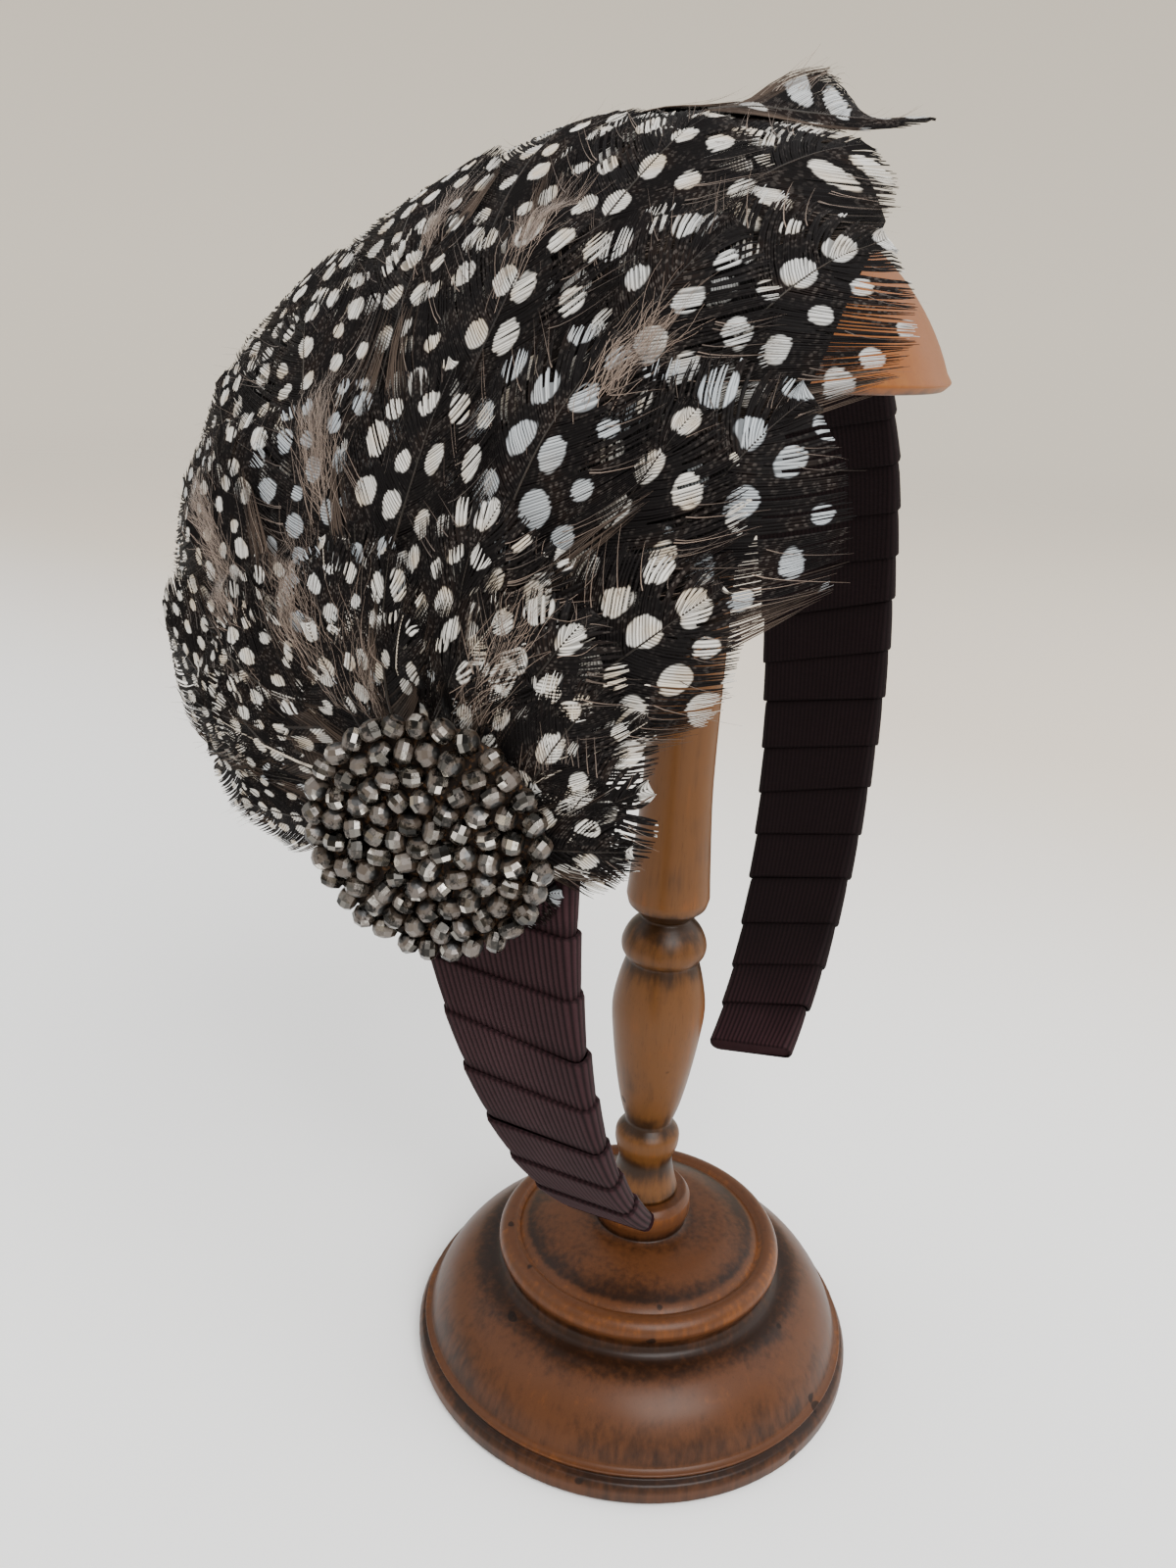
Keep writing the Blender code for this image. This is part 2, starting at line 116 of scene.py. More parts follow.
# Small feathers round the ornament: tip distance, length, width and bearings in degrees
SMALL_RINGS = [(37.0, 23.0, 14.0, range(-60, 80, 14)), (30.0, 18.0, 12.0, range(-84, 84, 15)),
               (23.0, 14.0, 9.0, range(-96, 84, 18))]
SMALL_SEED = 5
FIRST_SMALL = 60

# Rays that look for the solids start this high over the shell and reach this far down
RAY_START, RAY_REACH = 20.0, 24.0


# Settings

def colour_property(name, description, default):
    return FloatVectorProperty(name=name, description=description, default=default,
                               subtype="COLOR", size=3, min=0.0, max=1.0)


class StandSettings(PropertyGroup):
    segments: IntProperty(name="Segments", description="Faces round each turned piece",
                          default=96, min=24, max=256)
    foot_colour: colour_property("Foot", "Varnished wood of the foot", (0.064, 0.022, 0.007))
    column_colour: colour_property("Column", "Varnished wood of the column",
                                   (0.088, 0.034, 0.008))
    # Also the painted highlight on the bright edges of the foot and column
    edge_wear_and_highlight_colour: colour_property("Worn edges", "Rubbed varnish, and the ground of the top",
                                 (0.165, 0.050, 0.007))
    top_colour: colour_property("Top", "Rubbed wood of the mushroom top", (0.20, 0.074, 0.012))


class RibbonSettings(PropertyGroup):
    colour: colour_property("Ribbon", "Grosgrain that wraps the band", (0.023, 0.0085, 0.0105))
    rib_pitch: FloatProperty(name="Rib pitch", description="From one rib to the next, in mm",
                             default=0.84, min=0.3, max=3.0)
    rib_height: FloatProperty(name="Rib height", description="How far a rib stands out, in mm",
                              default=0.16, min=0.0, max=0.5)


class FeatherSettings(PropertyGroup):
    ground: colour_property("Ground", "Dark part of a vane", (0.0050, 0.0040, 0.0040))
    spots: colour_property("Spots", "Pale spots on a vane", (0.76, 0.735, 0.685))
    down: colour_property("Down", "Fluffy base of a vane", (0.085, 0.062, 0.048))
    barb_pitch: FloatProperty(name="Barb pitch", description="Along the shaft, in mm",
                              default=0.42, min=0.3, max=2.0)
    spot_pitch: FloatProperty(name="Spot pitch", description="From spot to spot, in mm",
                              default=5.4, min=2.0, max=12.0)
    loose: FloatProperty(name="Looseness", description="How far the barbs part at the edges",
                         default=1.0, min=0.0, max=3.0)


class OrnamentSettings(PropertyGroup):
    steel: colour_property("Steel", "Cut steel beads", (0.135, 0.126, 0.112))
    rust: colour_property("Rust", "Tarnish round the holes", (0.045, 0.026, 0.013))


class StageSettings(PropertyGroup):
    floor: colour_property("Floor", "Pale floor", (0.95, 0.95, 0.94))
    light: FloatProperty(name="Light", description="Strength of the lamps", default=1.0,
                         min=0.1, max=5.0)


# Shader expressions

class Wire:
    """An output socket that takes part in Python sums and products."""

    def __init__(self, look, socket):
        self.look = look
        self.socket = socket

    def math(self, operation, *others):
        inputs = dict(enumerate((self,) + others))
        return self.look.node("ShaderNodeMath", {"operation": operation}, inputs)

    def __add__(self, other):
        return self.math("ADD", other)

    __radd__ = __add__

    def __sub__(self, other):
        return self.math("SUBTRACT", other)

    def __rsub__(self, other):
        return self.look.node("ShaderNodeMath", {"operation": "SUBTRACT"}, {0: other, 1: self})

    def __mul__(self, other):
        return self.math("MULTIPLY", other)

    __rmul__ = __mul__

    def __truediv__(self, other):
        return self.math("DIVIDE", other)


class Look:
    """A material under construction, with a Principled shader and the nodes that feed it."""

    def __init__(self, name, **finish):
        self.material = bpy.data.materials.new(name)
        self.material.use_nodes = True
        self.tree = self.material.node_tree
        self.shader = self.tree.nodes["Principled BSDF"]
        for words, value in finish.items():
            self.shader.inputs[words.replace("_", " ")].default_value = value

    def node(self, kind, settings=None, inputs=None, output=0):
        made = self.tree.nodes.new(kind)
        for key, value in (settings or {}).items():
            if key == "stops":
                self.set_stops(made.color_ramp, value)
            else:
                setattr(made, key, value)
        for key, value in (inputs or {}).items():
            self.feed(made.inputs[key], value)
        return Wire(self, made.outputs[output])

    @staticmethod
    def set_stops(ramp, stops):
        while len(ramp.elements) < len(stops):
            ramp.elements.new(1.0)
        for element, (place, value) in zip(ramp.elements, stops):
            element.position = place
            element.color = (*value, 1.0)

    def feed(self, socket, value):
        if isinstance(value, Wire):
            self.tree.links.new(value.socket, socket)
        else:
            socket.default_value = value

    def out(self, **sockets):
        for words, value in sockets.items():
            self.feed(self.shader.inputs[words.replace("_", " ")], value)

    def mix(self, first, second, factor):
        first, second = (end if isinstance(end, Wire) else (*end, 1.0) for end in (first, second))
        return self.node("ShaderNodeMix", {"data_type": "RGBA"}, {0: factor, 6: first, 7: second},
                         output=2)

    def place(self, scale=1.0):
        """Object coordinates in millimetres, scaled alike or by a number for each axis."""
        spot = self.node("ShaderNodeTexCoord", output=3)
        return self.node("ShaderNodeMapping", None,
                         {"Vector": spot, "Scale": tuple(np.broadcast_to(scale, 3) / MM)})

    def attribute(self, name, output=2):
        return self.node("ShaderNodeAttribute", {"attribute_name": name}, None, output)

    def vector(self, operation, *inputs, output=0):
        return self.node("ShaderNodeVectorMath", {"operation": operation},
                         dict(enumerate(inputs)), output)

    def axis(self, vector, number):
        """One part of a vector, from 0 for X to 2 for Z."""
        return self.node("ShaderNodeSeparateXYZ", None, {0: vector}, number)

    def noise(self, vector, detail, roughness):
        return self.node("ShaderNodeTexNoise", None,
                         {"Vector": vector, "Scale": 1.0, "Detail": detail, "Roughness": roughness})

    def cells(self, vector, randomness, output=0):
        """Flat cells: output 0 is the distance to a cell's point, 1 the cell's own colour."""
        return self.node("ShaderNodeTexVoronoi", {"voronoi_dimensions": "2D"},
                         {"Vector": vector, "Scale": 1.0, "Randomness": randomness}, output)

    def ramp(self, value, *stops):
        return self.node("ShaderNodeValToRGB", {"stops": stops}, {"Fac": value})

    def between(self, value, low, high):
        """0 below low, 1 above high, smooth between; with high below low it falls."""
        return self.node("ShaderNodeMapRange", {"interpolation_type": "SMOOTHSTEP"},
                         {"Value": value, "From Min": low, "From Max": high})

    def bump(self, height, strength=0.5, distance=0.1):
        return self.node("ShaderNodeBump", None,
                         {"Height": height, "Strength": strength, "Distance": distance * MM})


def settings(name):
    return getattr(bpy.context.scene, name)


# Shapes

def placed(bm, name, material, body=BODY, stands_for=(), smooth=True):
    """A finished bmesh becomes a piece that rides on the part."""
    mesh = bpy.data.meshes.new(name)
    bm.to_mesh(mesh)
    bm.free()
    for face in mesh.polygons:
        face.use_smooth = smooth
    mesh.materials.append(material)
    piece = bpy.data.objects.new(name, mesh)
    bpy.context.scene.collection.objects.link(piece)
    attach(piece, body)
    if stands_for:
        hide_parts(*stands_for)
    return piece


def to_world(points):
    """Points of the arch's own frame, in mm, become Blender's, in metres."""
    turn = np.array(REST.to_3x3())
    return (points @ turn.T + np.array(REST.translation)) * MM


def faces_round(verts):
    """The faces that touch the vertices, each once, in the vertices' own order."""
    return dict.fromkeys(face for vert in verts for face in vert.link_faces)


def add_sheet(bm, points, values=None, drop=None):
    """A grid whose corners take the given places (rows, columns, 3), with named values on them."""
    rows, columns = points.shape[:2]
    layers = []
    for name, value in (values or {}).items():
        kinds = bm.verts.layers.float_vector if value.ndim == 3 else bm.verts.layers.float
        if name not in kinds:
            kinds.new(name)
        layers.append((kinds, name, value))
    made = bmesh.ops.create_grid(bm, x_segments=columns - 1, y_segments=rows - 1, size=0.5)
    cells = {}
    for vert in made["verts"]:
        row = int(round((vert.co.y + 0.5) * (rows - 1)))
        column = int(round((vert.co.x + 0.5) * (columns - 1)))
        cells[vert] = (row, column)
    layers = [(kinds[name], value) for kinds, name, value in layers]
    for vert, cell in cells.items():
        vert.co = points[cell]
        for layer, value in layers:
            vert[layer] = tuple(value[cell]) if value.ndim == 3 else value[cell]
    if drop is not None:
        unwanted = []
        for face in faces_round(made["verts"]):
            corner = tuple(min(cells[vert][k] for vert in face.verts) for k in (0, 1))
            if drop[corner]:
                unwanted.append(face)
        bmesh.ops.delete(bm, geom=unwanted, context="FACES_ONLY")


def lathe(profile, segments):
    """A profile of (r, z), from the top of the axis down to its foot, spun about Z."""
    bm = bmesh.new()
    verts = [bm.verts.new((r * MM, 0.0, z * MM)) for r, z in profile]
    edges = [bm.edges.new(pair) for pair in zip(verts, verts[1:])]
    bmesh.ops.spin(bm, geom=verts + edges, cent=(0, 0, 0), axis=(0, 0, 1), angle=2 * pi,
                   steps=segments, use_merge=True)
    bmesh.ops.remove_doubles(bm, verts=bm.verts, dist=0.000005)
    bmesh.ops.recalc_face_normals(bm, faces=bm.faces)
    return bm


def softened(profile, reach=0.35, steps=3):
    """The profile with each inner corner rounded over a short reach."""
    made = [profile[0]]
    for before, corner, after in zip(profile, profile[1:], profile[2:]):
        corner = Vector(corner)
        back, ahead = Vector(before) - corner, Vector(after) - corner
        near = corner + back.normalized() * min(reach, back.length * 0.4)
        far = corner + ahead.normalized() * min(reach, ahead.length * 0.4)
        for k in range(steps + 1):
            t = k / steps
            made.append(tuple(near * (1 - t) ** 2 + corner * 2 * t * (1 - t) + far * t ** 2))
    return made + [profile[-1]]


def curved(points, steps=4):
    """A smooth line through the points."""
    ends = [points[0]] + list(points) + [points[-1]]
    made = []
    for a, b, c, d in zip(ends, ends[1:], ends[2:], ends[3:]):
        a, b, c, d = (Vector(p) for p in (a, b, c, d))
        for k in range(steps):
            t = k / steps
            made.append(tuple(0.5 * (2 * b + (c - a) * t + (2 * a - 5 * b + 4 * c - d) * t ** 2
                                     + (3 * b - a - 3 * c + d) * t ** 3)))
    return made + [tuple(points[-1])]


# The arch and the shell, in the arch's own frame

def arch_normal(angle):
    span = np.where(angle < 0, NEAR_HALF_SPAN, FAR_HALF_SPAN)
    drop = np.where(angle < 0, NEAR_DROP, FAR_DROP)
    normal = np.stack([np.sin(angle) / span, 0 * angle, np.cos(angle) / drop], -1)
    return normal / np.linalg.norm(normal, axis=-1, keepdims=True)


def arch_point(angle, offset=0.0):
    angle = np.asarray(angle, float)
    span = np.where(angle < 0, NEAR_HALF_SPAN, FAR_HALF_SPAN)
    drop = np.where(angle < 0, NEAR_DROP, FAR_DROP)
    crown = DOME_RADIUS + GAP + BAND_THICKNESS / 2
    point = np.stack([span * np.sin(angle), 0 * angle, crown - drop * (1 - np.cos(angle))], -1)
    return point + arch_normal(angle) * np.asarray(offset, float)[..., None]


def way_along(points):
    """The length of a line of points from its start to each of them."""
    steps = np.linalg.norm(np.diff(points, axis=0), axis=1)
    return np.concatenate([[0.0], np.cumsum(steps)])


ANGLES = np.radians(np.linspace(-170.0, 170.0, 681))
LENGTHS = way_along(arch_point(ANGLES, SHELL_OFFSET))
LENGTHS -= np.interp(0.0, ANGLES, LENGTHS)
FAN_ALONG = float(np.interp(FAN_ANGLE, ANGLES, LENGTHS))
FAN = np.array([FAN_ALONG, FAN_SIDE])


def shell_frame(along, side):
    along, side = np.broadcast_arrays(np.asarray(along, float), np.asarray(side, float))
    angle = np.interp(along, LENGTHS, ANGLES)
    radius = np.where(side > 0, LEFT_ROUND, RIGHT_ROUND)
    up = arch_normal(angle)
    turn = (side / radius)[..., None]
    normal = up * np.cos(turn) + np.array([0.0, 1.0, 0.0]) * np.sin(turn)
    point = arch_point(angle, SHELL_OFFSET) + radius[..., None] * (normal - up)
    return point, normal


def shell_point(along, side, height):
    point, normal = shell_frame(along, side)
    return point + normal * np.asarray(height, float)[..., None]


def node_points(name):
    """Vertices of a solid in the arch's own frame, in mm."""
    mesh = NODES[name].data
    found = np.empty(len(mesh.vertices) * 3)
    mesh.vertices.foreach_get("co", found)
    turn = np.array(REST.to_3x3())
    return (found.reshape(-1, 3) / MM - np.array(REST.translation)) @ turn


def ahead_of(turns):
    """Steps of one along each heading."""
    return np.stack([np.cos(turns), np.sin(turns)], -1)


def left_of(turns):
    """Steps of one to the left of each heading."""
    return np.stack([-np.sin(turns), np.cos(turns)], -1)


def heights_below(tree, base, normal):
    """How high over the shell the tree lies at each place, and 0 where it doesn't."""
    heights = np.zeros(base.shape[:-1])
    for cell in np.ndindex(heights.shape):
        up = REST.to_3x3() @ Vector(normal[cell])
        start = Vector(to_world(base[cell])) + up * RAY_START * MM
        found = tree.ray_cast(start, -up, RAY_REACH * MM)
        heights[cell] = RAY_START - found[3] / MM if found[0] else 0.0
    return heights


def solids_tree():
    """The band, the felt and the feathers as one tree for casting rays at."""
    feathers = (name for name in NODES if name.startswith("feather_"))
    bm = bmesh.new()
    for name in dict.fromkeys(["feather_backing", "headband", *feathers]):
        bm.from_mesh(NODES[name].data)
    tree = BVHTree.FromBMesh(bm)
    bm.free()
    return tree


# Feather plan, as the solids lay them

def outline_radius(bearing):
    degrees, radius = zip(*PAD_OUTLINE)
    return np.interp(np.degrees(bearing), degrees, radius)


def row_bearings(row):
    bearings = np.radians(np.linspace(PAD_OUTLINE[0][0], PAD_OUTLINE[-1][0], 400))
    radius = outline_radius(bearings) - row * ROW_STEP
    bearings, radius = bearings[radius > INNERMOST_TIP], radius[radius > INNERMOST_TIP]
    if len(bearings) < 2:
        return []
    points = np.stack([radius * np.cos(bearings), radius * np.sin(bearings)], -1)
    travelled = way_along(points)
    count = max(int(round(travelled[-1] / TIP_SPACING)), 1)
    places = (np.arange(count) + 0.5) * travelled[-1] / count
    return list(np.interp(places, travelled, bearings))


class Feather:
    """One feather on the shell, from the quill's end (share 0) to the tip (share 1)."""

    SHARES = np.array([share for share, _ in VANE])
    WIDTHS = np.array([width for _, width in VANE])

    def __init__(self, bearing, tip_distance, length, width, twist, bend):
        self.length = length
        self.width = width
        self.heading = bearing + twist
        self.bend = bend / length
        self.tip = np.array([tip_distance * cos(bearing), tip_distance * sin(bearing)])

    def outline(self):
        """The solid's grid of places on the shell, three across for each share."""
        fine = np.linspace(1.0, 0.0, PATH_STEPS + 1)
        turns = self.heading - self.bend * self.length * (1.0 - fine)
        step = self.length / PATH_STEPS
        path = self.tip - step * np.concatenate(
            [[[0.0, 0.0]], np.cumsum(ahead_of(turns), axis=0)[:-1]])
        centre = np.stack([np.interp(self.SHARES, fine[::-1], path[::-1, k]) for k in (0, 1)], -1)
        turn = np.interp(self.SHARES, fine[::-1], turns[::-1])
        half = (self.WIDTHS * self.width / 2)[:, None, None]
        offsets = np.array([-1.0, 0.0, 1.0])[None, :, None]
        return centre[:, None] + left_of(turn)[:, None] * half * offsets + FAN

    def quill_distance(self):
        return float(np.linalg.norm(self.outline()[0, 1] - FAN))

    def read_heights(self, node):
        """Heights of the solid's underside over the shell, smoothed along the feather."""
        places = self.outline()
        base, normal = shell_frame(places[..., 0], places[..., 1])
        points = node_points(node)
        gap = points[None, None] - base[:, :, None]
        height = np.einsum("rcnk,rck->rcn", gap, normal)
        off = np.linalg.norm(gap - height[..., None] * normal[:, :, None], axis=-1)
        nearest = off.argmin(axis=-1)
        rows, columns = np.indices(nearest.shape)
        if off[rows, columns, nearest].max() > PLAN_TOLERANCE:
            raise RuntimeError(f"the plan of {node} doesn't fit its solid")
        self.settle(height[rows, columns, nearest])

    def fall_on(self, tree):
        """Heights of whatever lies under the feather, found from above."""
        places = self.outline()
        self.settle(heights_below(tree, *shell_frame(places[..., 0], places[..., 1])))

    def settle(self, heights):
        """Keeps the heights and the shaft's path, smoothed and a little past both ends."""
        self.fine = np.linspace(-0.1, 1.1, PATH_STEPS + 1)
        table = np.stack([np.interp(self.fine, self.SHARES, heights[:, k]) for k in range(3)], -1)
        kernel = np.array([1, 2, 3, 2, 1]) / 9
        padded = np.pad(table, ((2, 2), (0, 0)), mode="edge")
        self.table = np.stack([np.convolve(padded[:, k], kernel, "valid") for k in range(3)], -1)
        turns = self.heading - self.bend * self.length * (1.0 - self.fine)
        steps = ahead_of(turns) * (self.fine[1] - self.fine[0]) * self.length
        path = np.concatenate([[[0.0, 0.0]], np.cumsum((steps[1:] + steps[:-1]) / 2, axis=0)])
        path -= [np.interp(1.0, self.fine, path[:, k]) for k in (0, 1)]
        self.path = path + self.tip + FAN
        self.turns = turns

    def spot_size(self):
        """Spots are small on the left of the pad and large on its right, against the usual 1."""
        bearing = atan2(self.tip[1], self.tip[0])
        size = float(np.interp(bearing, [-1.2, -0.3, 0.3, 1.2], [1.2, 1.08, 0.92, 0.68]))
        return size * min(1.0, 0.45 + self.length / 70)

    def barred(self):
        """Towards the far end on the right the spots of some feathers run into bars."""
        along, side = self.tip
        return along > BARRED_FROM and BARRED_SIDES[0] < side < BARRED_SIDES[1]

    def half_width(self, share):
        return np.interp(share, self.SHARES, self.WIDTHS) * self.width / 2

    def surface(self, share, aside, lift):
        """Points over the solid at a share of the length and a distance aside, in mm."""
        centre = np.stack([np.interp(share, self.fine, self.path[:, k]) for k in (0, 1)], -1)
        turn = np.interp(share, self.fine, self.turns)
        place = centre + left_of(turn) * aside[..., None]
        low, middle, high = (np.interp(share, self.fine, self.table[:, k]) for k in range(3))
        q = np.clip(aside / np.maximum(self.half_width(share), 1.5), -1.2, 1.2)
        height = low * q * (q - 1) / 2 + middle * (1 - q * q) + high * q * (q + 1) / 2
        return to_world(shell_point(place[..., 0], place[..., 1], height + lift))


def feather_plan():
    dice = random.Random(FEATHER_SEED)
    plan = []
    for row in range(6):
        for bearing in row_bearings(row):
            distance = float(outline_radius(bearing)) - row * ROW_STEP + dice.uniform(-2.5, 2.5)
            length = min(FEATHER_LENGTH, REACH_SHARE * distance) * dice.uniform(0.94, 1.04)
            twist = radians(dice.uniform(-7.0, 7.0))
            bend = radians(dice.uniform(-14.0, 14.0))
            width = (6.0 + 0.6 * length) * dice.uniform(0.94, 1.06)
            dice.uniform(0.1, 0.8)  # the solid's own lift, drawn to keep the order
            plan.append(Feather(bearing, distance, length, width, twist, bend))
    plan.sort(key=lambda feather: -feather.quill_distance())
    for degrees, distance, length, width, rise, turn in STANDING:
        plan.append(Feather(radians(degrees), distance, length, width, radians(turn), 0.0))
    return plan


def laid_feathers():
    """The plan's feathers with their numbers, each on the heights of its solid."""
    for number, feather in enumerate(feather_plan(), start=1):
        feather.read_heights(f"feather_{number:02d}")
        yield number, feather


def small_feathers():
    """Small feathers tucked under the ornament, over the innermost of the big ones."""
    dice = random.Random(SMALL_SEED)
    made = []
    for distance, length, width, bearings in SMALL_RINGS:
        for degrees in bearings:
            bearing = radians(degrees + dice.uniform(-5, 5))
            made.append(Feather(bearing, distance + dice.uniform(-2, 2),
                                length * dice.uniform(0.9, 1.1), width * dice.uniform(0.9, 1.1),
                                radians(dice.uniform(-14, 14)), radians(dice.uniform(-20, 20))))
    return made


# Materials

def shaded(colour, factor, lift=0.0):
    """The colour made darker or brighter, up to white."""
    return tuple(min(factor * part + lift, 1.0) for part in colour)


def wood_look(name, colour, edge, height, wear_and_painted_light, varnish=0.24):
    """Varnished turned wood with painted shade in its grooves and painted highlights on its rubbed
    edges: the stops are (z in mm, 0 for a dark groove to 1 for a bright edge).
    """
    look = Look(name, Coat_Roughness=0.3, IOR=1.45, Specular_IOR_Level=0.15)
    streaks = look.noise(look.place((0.9, 0.9, 0.03)), 4.0, 0.55)
    pores = look.noise(look.place((5.0, 5.0, 0.22)), 2.0, 0.5)
    blotches = look.noise(look.place(0.07), 3.0, 0.6)
    z = look.axis(look.place(), 2)
    stops = [(place / height, (value, value, value)) for place, value in wear_and_painted_light]
    # Painted shade in the grooves and painted highlights on the edges, which are also rubbed, set
    # by height; grain and blotches vary it
    tone = look.ramp(z / height + (blotches - 0.5) * 0.012, *stops)
    tone = tone + (blotches - 0.5) * 0.75 + (streaks - 0.5) * 0.6
    dark = shaded(colour, 0.20)
    base = look.mix(dark, colour, look.between(tone, 0.02, 0.52))
    base = look.mix(base, edge, look.between(tone, 0.55, 1.05))
    base = look.mix(base, dark, look.between(pores, 0.58, 0.76) * 0.35)
    dents = look.noise(look.place(0.21), 1.0, 0.4)
    nick = look.between(dents, 0.75, 0.78)
    base = look.mix(base, shaded(dark, 0.3), nick * 0.8)
    relief = streaks * 0.3 + pores * 0.12 - nick * 0.8
    look.out(Base_Color=base, Roughness=0.36 + 0.14 * blotches + 0.2 * nick,
             Coat_Weight=varnish * (1.0 - 0.8 * blotches), Normal=look.bump(relief, 0.2, 0.12))
    return look.material


def ribbon_look(colour):
    """Grosgrain with painted shade between the ribs and a painted shadow towards the far leg: weave
    is (round the band, along it, rib height).
    """
    look = Look("ribbed_ribbon", IOR=1.45, Specular_IOR_Level=0.12)
    weave = look.attribute("weave", output=1)
    along, ridge = look.axis(weave, 1), look.axis(weave, 2)
    threads = (along * (2 * pi / 0.33)).math("SINE") * 0.5 + 0.5
    fade_and_highlight = look.noise(look.place(0.10), 3.0, 0.6)
    lint = look.noise(look.place((2.2, 2.2, 0.5)), 3.0, 0.7)
    dark = shaded(colour, 0.25)
    light = shaded(colour, 1.7, 0.004)
    # Painted shade in the valleys between the ribs
    base = look.mix(dark, colour, look.between(ridge, 0.0, 0.8))
    # Lighter rib tops in patches: a painted highlight and fading
    base = look.mix(base, light, ridge * look.between(fade_and_highlight, 0.35, 0.8) * 0.5)
    base = look.mix(base, (0.11, 0.09, 0.08), look.between(lint, 0.70, 0.84) * 0.25)
    # Painted shadow, darker towards the far leg
    shadow = look.between(look.axis(look.place(), 0), 8.0, 34.0)
    base = look.mix(base, (0.0022, 0.0008, 0.0010), shadow * 0.85)
    look.out(Base_Color=base, Roughness=0.85 - 0.12 * ridge,
             Normal=look.bump(threads * 0.5 + lint * 0.5, 0.35, 0.06))
    return look.material


def felt_look():
    look = Look("black_felt", Specular_IOR_Level=0.08)
    fibre = look.noise(look.place(1.4), 5.0, 0.75)
    base = look.mix((0.0035, 0.0030, 0.0030), (0.014, 0.012, 0.011), look.between(fibre, 0.35, 0.7))
    look.out(Base_Color=base, Roughness=0.85 + 0.1 * fibre, Normal=look.bump(fibre, 0.6, 0.4))
    return look.material


def vane_look(name, ground, spots, down, spot_pitch):
    """Barbs of a spotted vane: rest is (along the shaft, aside, feather number), in mm."""
    look = Look(name, Specular_IOR_Level=0.08, IOR=1.45)
    rest = look.attribute("rest", output=1)
    ridge = look.attribute("ridge")
    tint = look.attribute("tint")
    fluff = look.attribute("fluff")
    pale = look.attribute("pale")
    size = 1.0 / spot_pitch
    jitter = look.node("ShaderNodeCombineXYZ", None, {0: (tint - 0.5) * 0.45})
    shifted = look.vector("ADD", rest, jitter)
    bent = look.noise(look.vector("MULTIPLY", rest, (0.16, 0.16, 1.3)), 1.0, 0.4)
    warp = look.node("ShaderNodeCombineXYZ", None, {0: (bent - 0.5) * 2.6, 1: (bent - 0.5) * 1.8})
    shifted = look.vector("ADD", shifted, warp)
    lattice = look.vector("MULTIPLY", shifted, (size * 0.86, size * 1.06, 0.0))
    apart, kind = look.cells(lattice, 0.42), look.cells(lattice, 0.42, output=1)
    chance = look.node("ShaderNodeSeparateColor", None, {0: kind})
    radius = 0.19 + 0.13 * chance
    spot = look.between(apart - radius, 0.03, -0.02)
    halo = look.between(apart - radius, 0.10, 0.02)
    dots = look.cells(look.vector("MULTIPLY", shifted, (1.15, 1.45, 0.0)), 0.75)
    freckle = look.between(dots, 0.33, 0.20) * (1.0 - halo)
    cloud = look.noise(look.vector("MULTIPLY", rest, (0.25, 0.25, 2.1)), 2.0, 0.5)
    deep = shaded(ground, 0.45)
    brown = (ground[0] * 2.4, ground[1] * 1.9, ground[2] * 1.5)
    base = look.mix(ground, brown, look.between(cloud, 0.45, 0.75))
    base = look.mix(base, (0.11, 0.095, 0.085), freckle * look.between(cloud, 0.35, 0.7) * 0.45)
    cream = look.mix(spots, (0.66, 0.54, 0.39), look.between(cloud, 0.42, 0.72) * 0.8)
    blue = look.mix(cream, (0.40, 0.46, 0.52), look.between(pale, 0.55, 0.95) * 0.75)
    base = look.mix(base, blue, spot * (0.72 + 0.28 * tint))
    base = look.mix(base, down, fluff)
    # Painted shade in the gaps between the barbs
    base = look.mix(base, deep, (1.0 - ridge) * 0.72)
    look.out(Base_Color=base, Roughness=0.55 + 0.2 * tint)
    return look.material


def shaft_look():
    look = Look("feather_shafts", Specular_IOR_Level=0.12)
    tint = look.attribute("tint")
    stain = look.noise(look.place(0.6), 2.0, 0.5)
    base = look.mix((0.010, 0.008, 0.007), (0.50, 0.44, 0.36), tint)
    base = look.mix(base, (0.05, 0.035, 0.028), look.between(stain, 0.5, 0.75) * 0.5)
    look.out(Base_Color=base, Roughness=0.38)
    return look.material


def down_look(down):
    look = Look("down_and_hairs", Specular_IOR_Level=0.3, Sheen_Weight=0.2)
    tint = look.attribute("tint")
    base = look.mix(shaded(down, 0.5), shaded(down, 3.0), tint)
    look.out(Base_Color=base, Roughness=0.7)
    return look.material


def steel_look(steel, rust):
    """Cut steel: hole is 1 round a bead's hole, which is darkened with painted shade, and 0 at its
    girdle; the facet value gives each facet a painted reflection, from dark to a bright glint.
    """
    look = Look("cut_steel_beads", IOR=2.2)
    hole = look.attribute("hole")
    facet = look.attribute("facet")
    patches = look.noise(look.place(0.42), 4.0, 0.65)
    pits = look.noise(look.place(4.0), 3.0, 0.6)
    tarnish = look.between(patches + hole * 0.16 + (pits - 0.5) * 0.25, 0.46, 0.62)
    dark = shaded(steel, 0.10)
    painted_glint = shaded(steel, 4.6)
    # Painted reflections: dark, steel-coloured and brightly glinting facets, by each facet's value
    grey = look.mix(dark, steel, look.between(facet, 0.0, 0.45))
    grey = look.mix(grey, painted_glint, look.between(facet, 0.42, 0.8))
    base = look.mix(grey, rust, tarnish * 0.85)
    # Painted shade in the bead's hole, which the mesh does not have
    base = look.mix(base, (0.006, 0.005, 0.004), look.between(hole, 0.88, 0.98))
    look.out(Base_Color=base, Metallic=0.96 - 0.5 * tarnish, Roughness=0.10 + 0.30 * tarnish,
             Normal=look.bump(pits, 0.12, 0.06))
    return look.material


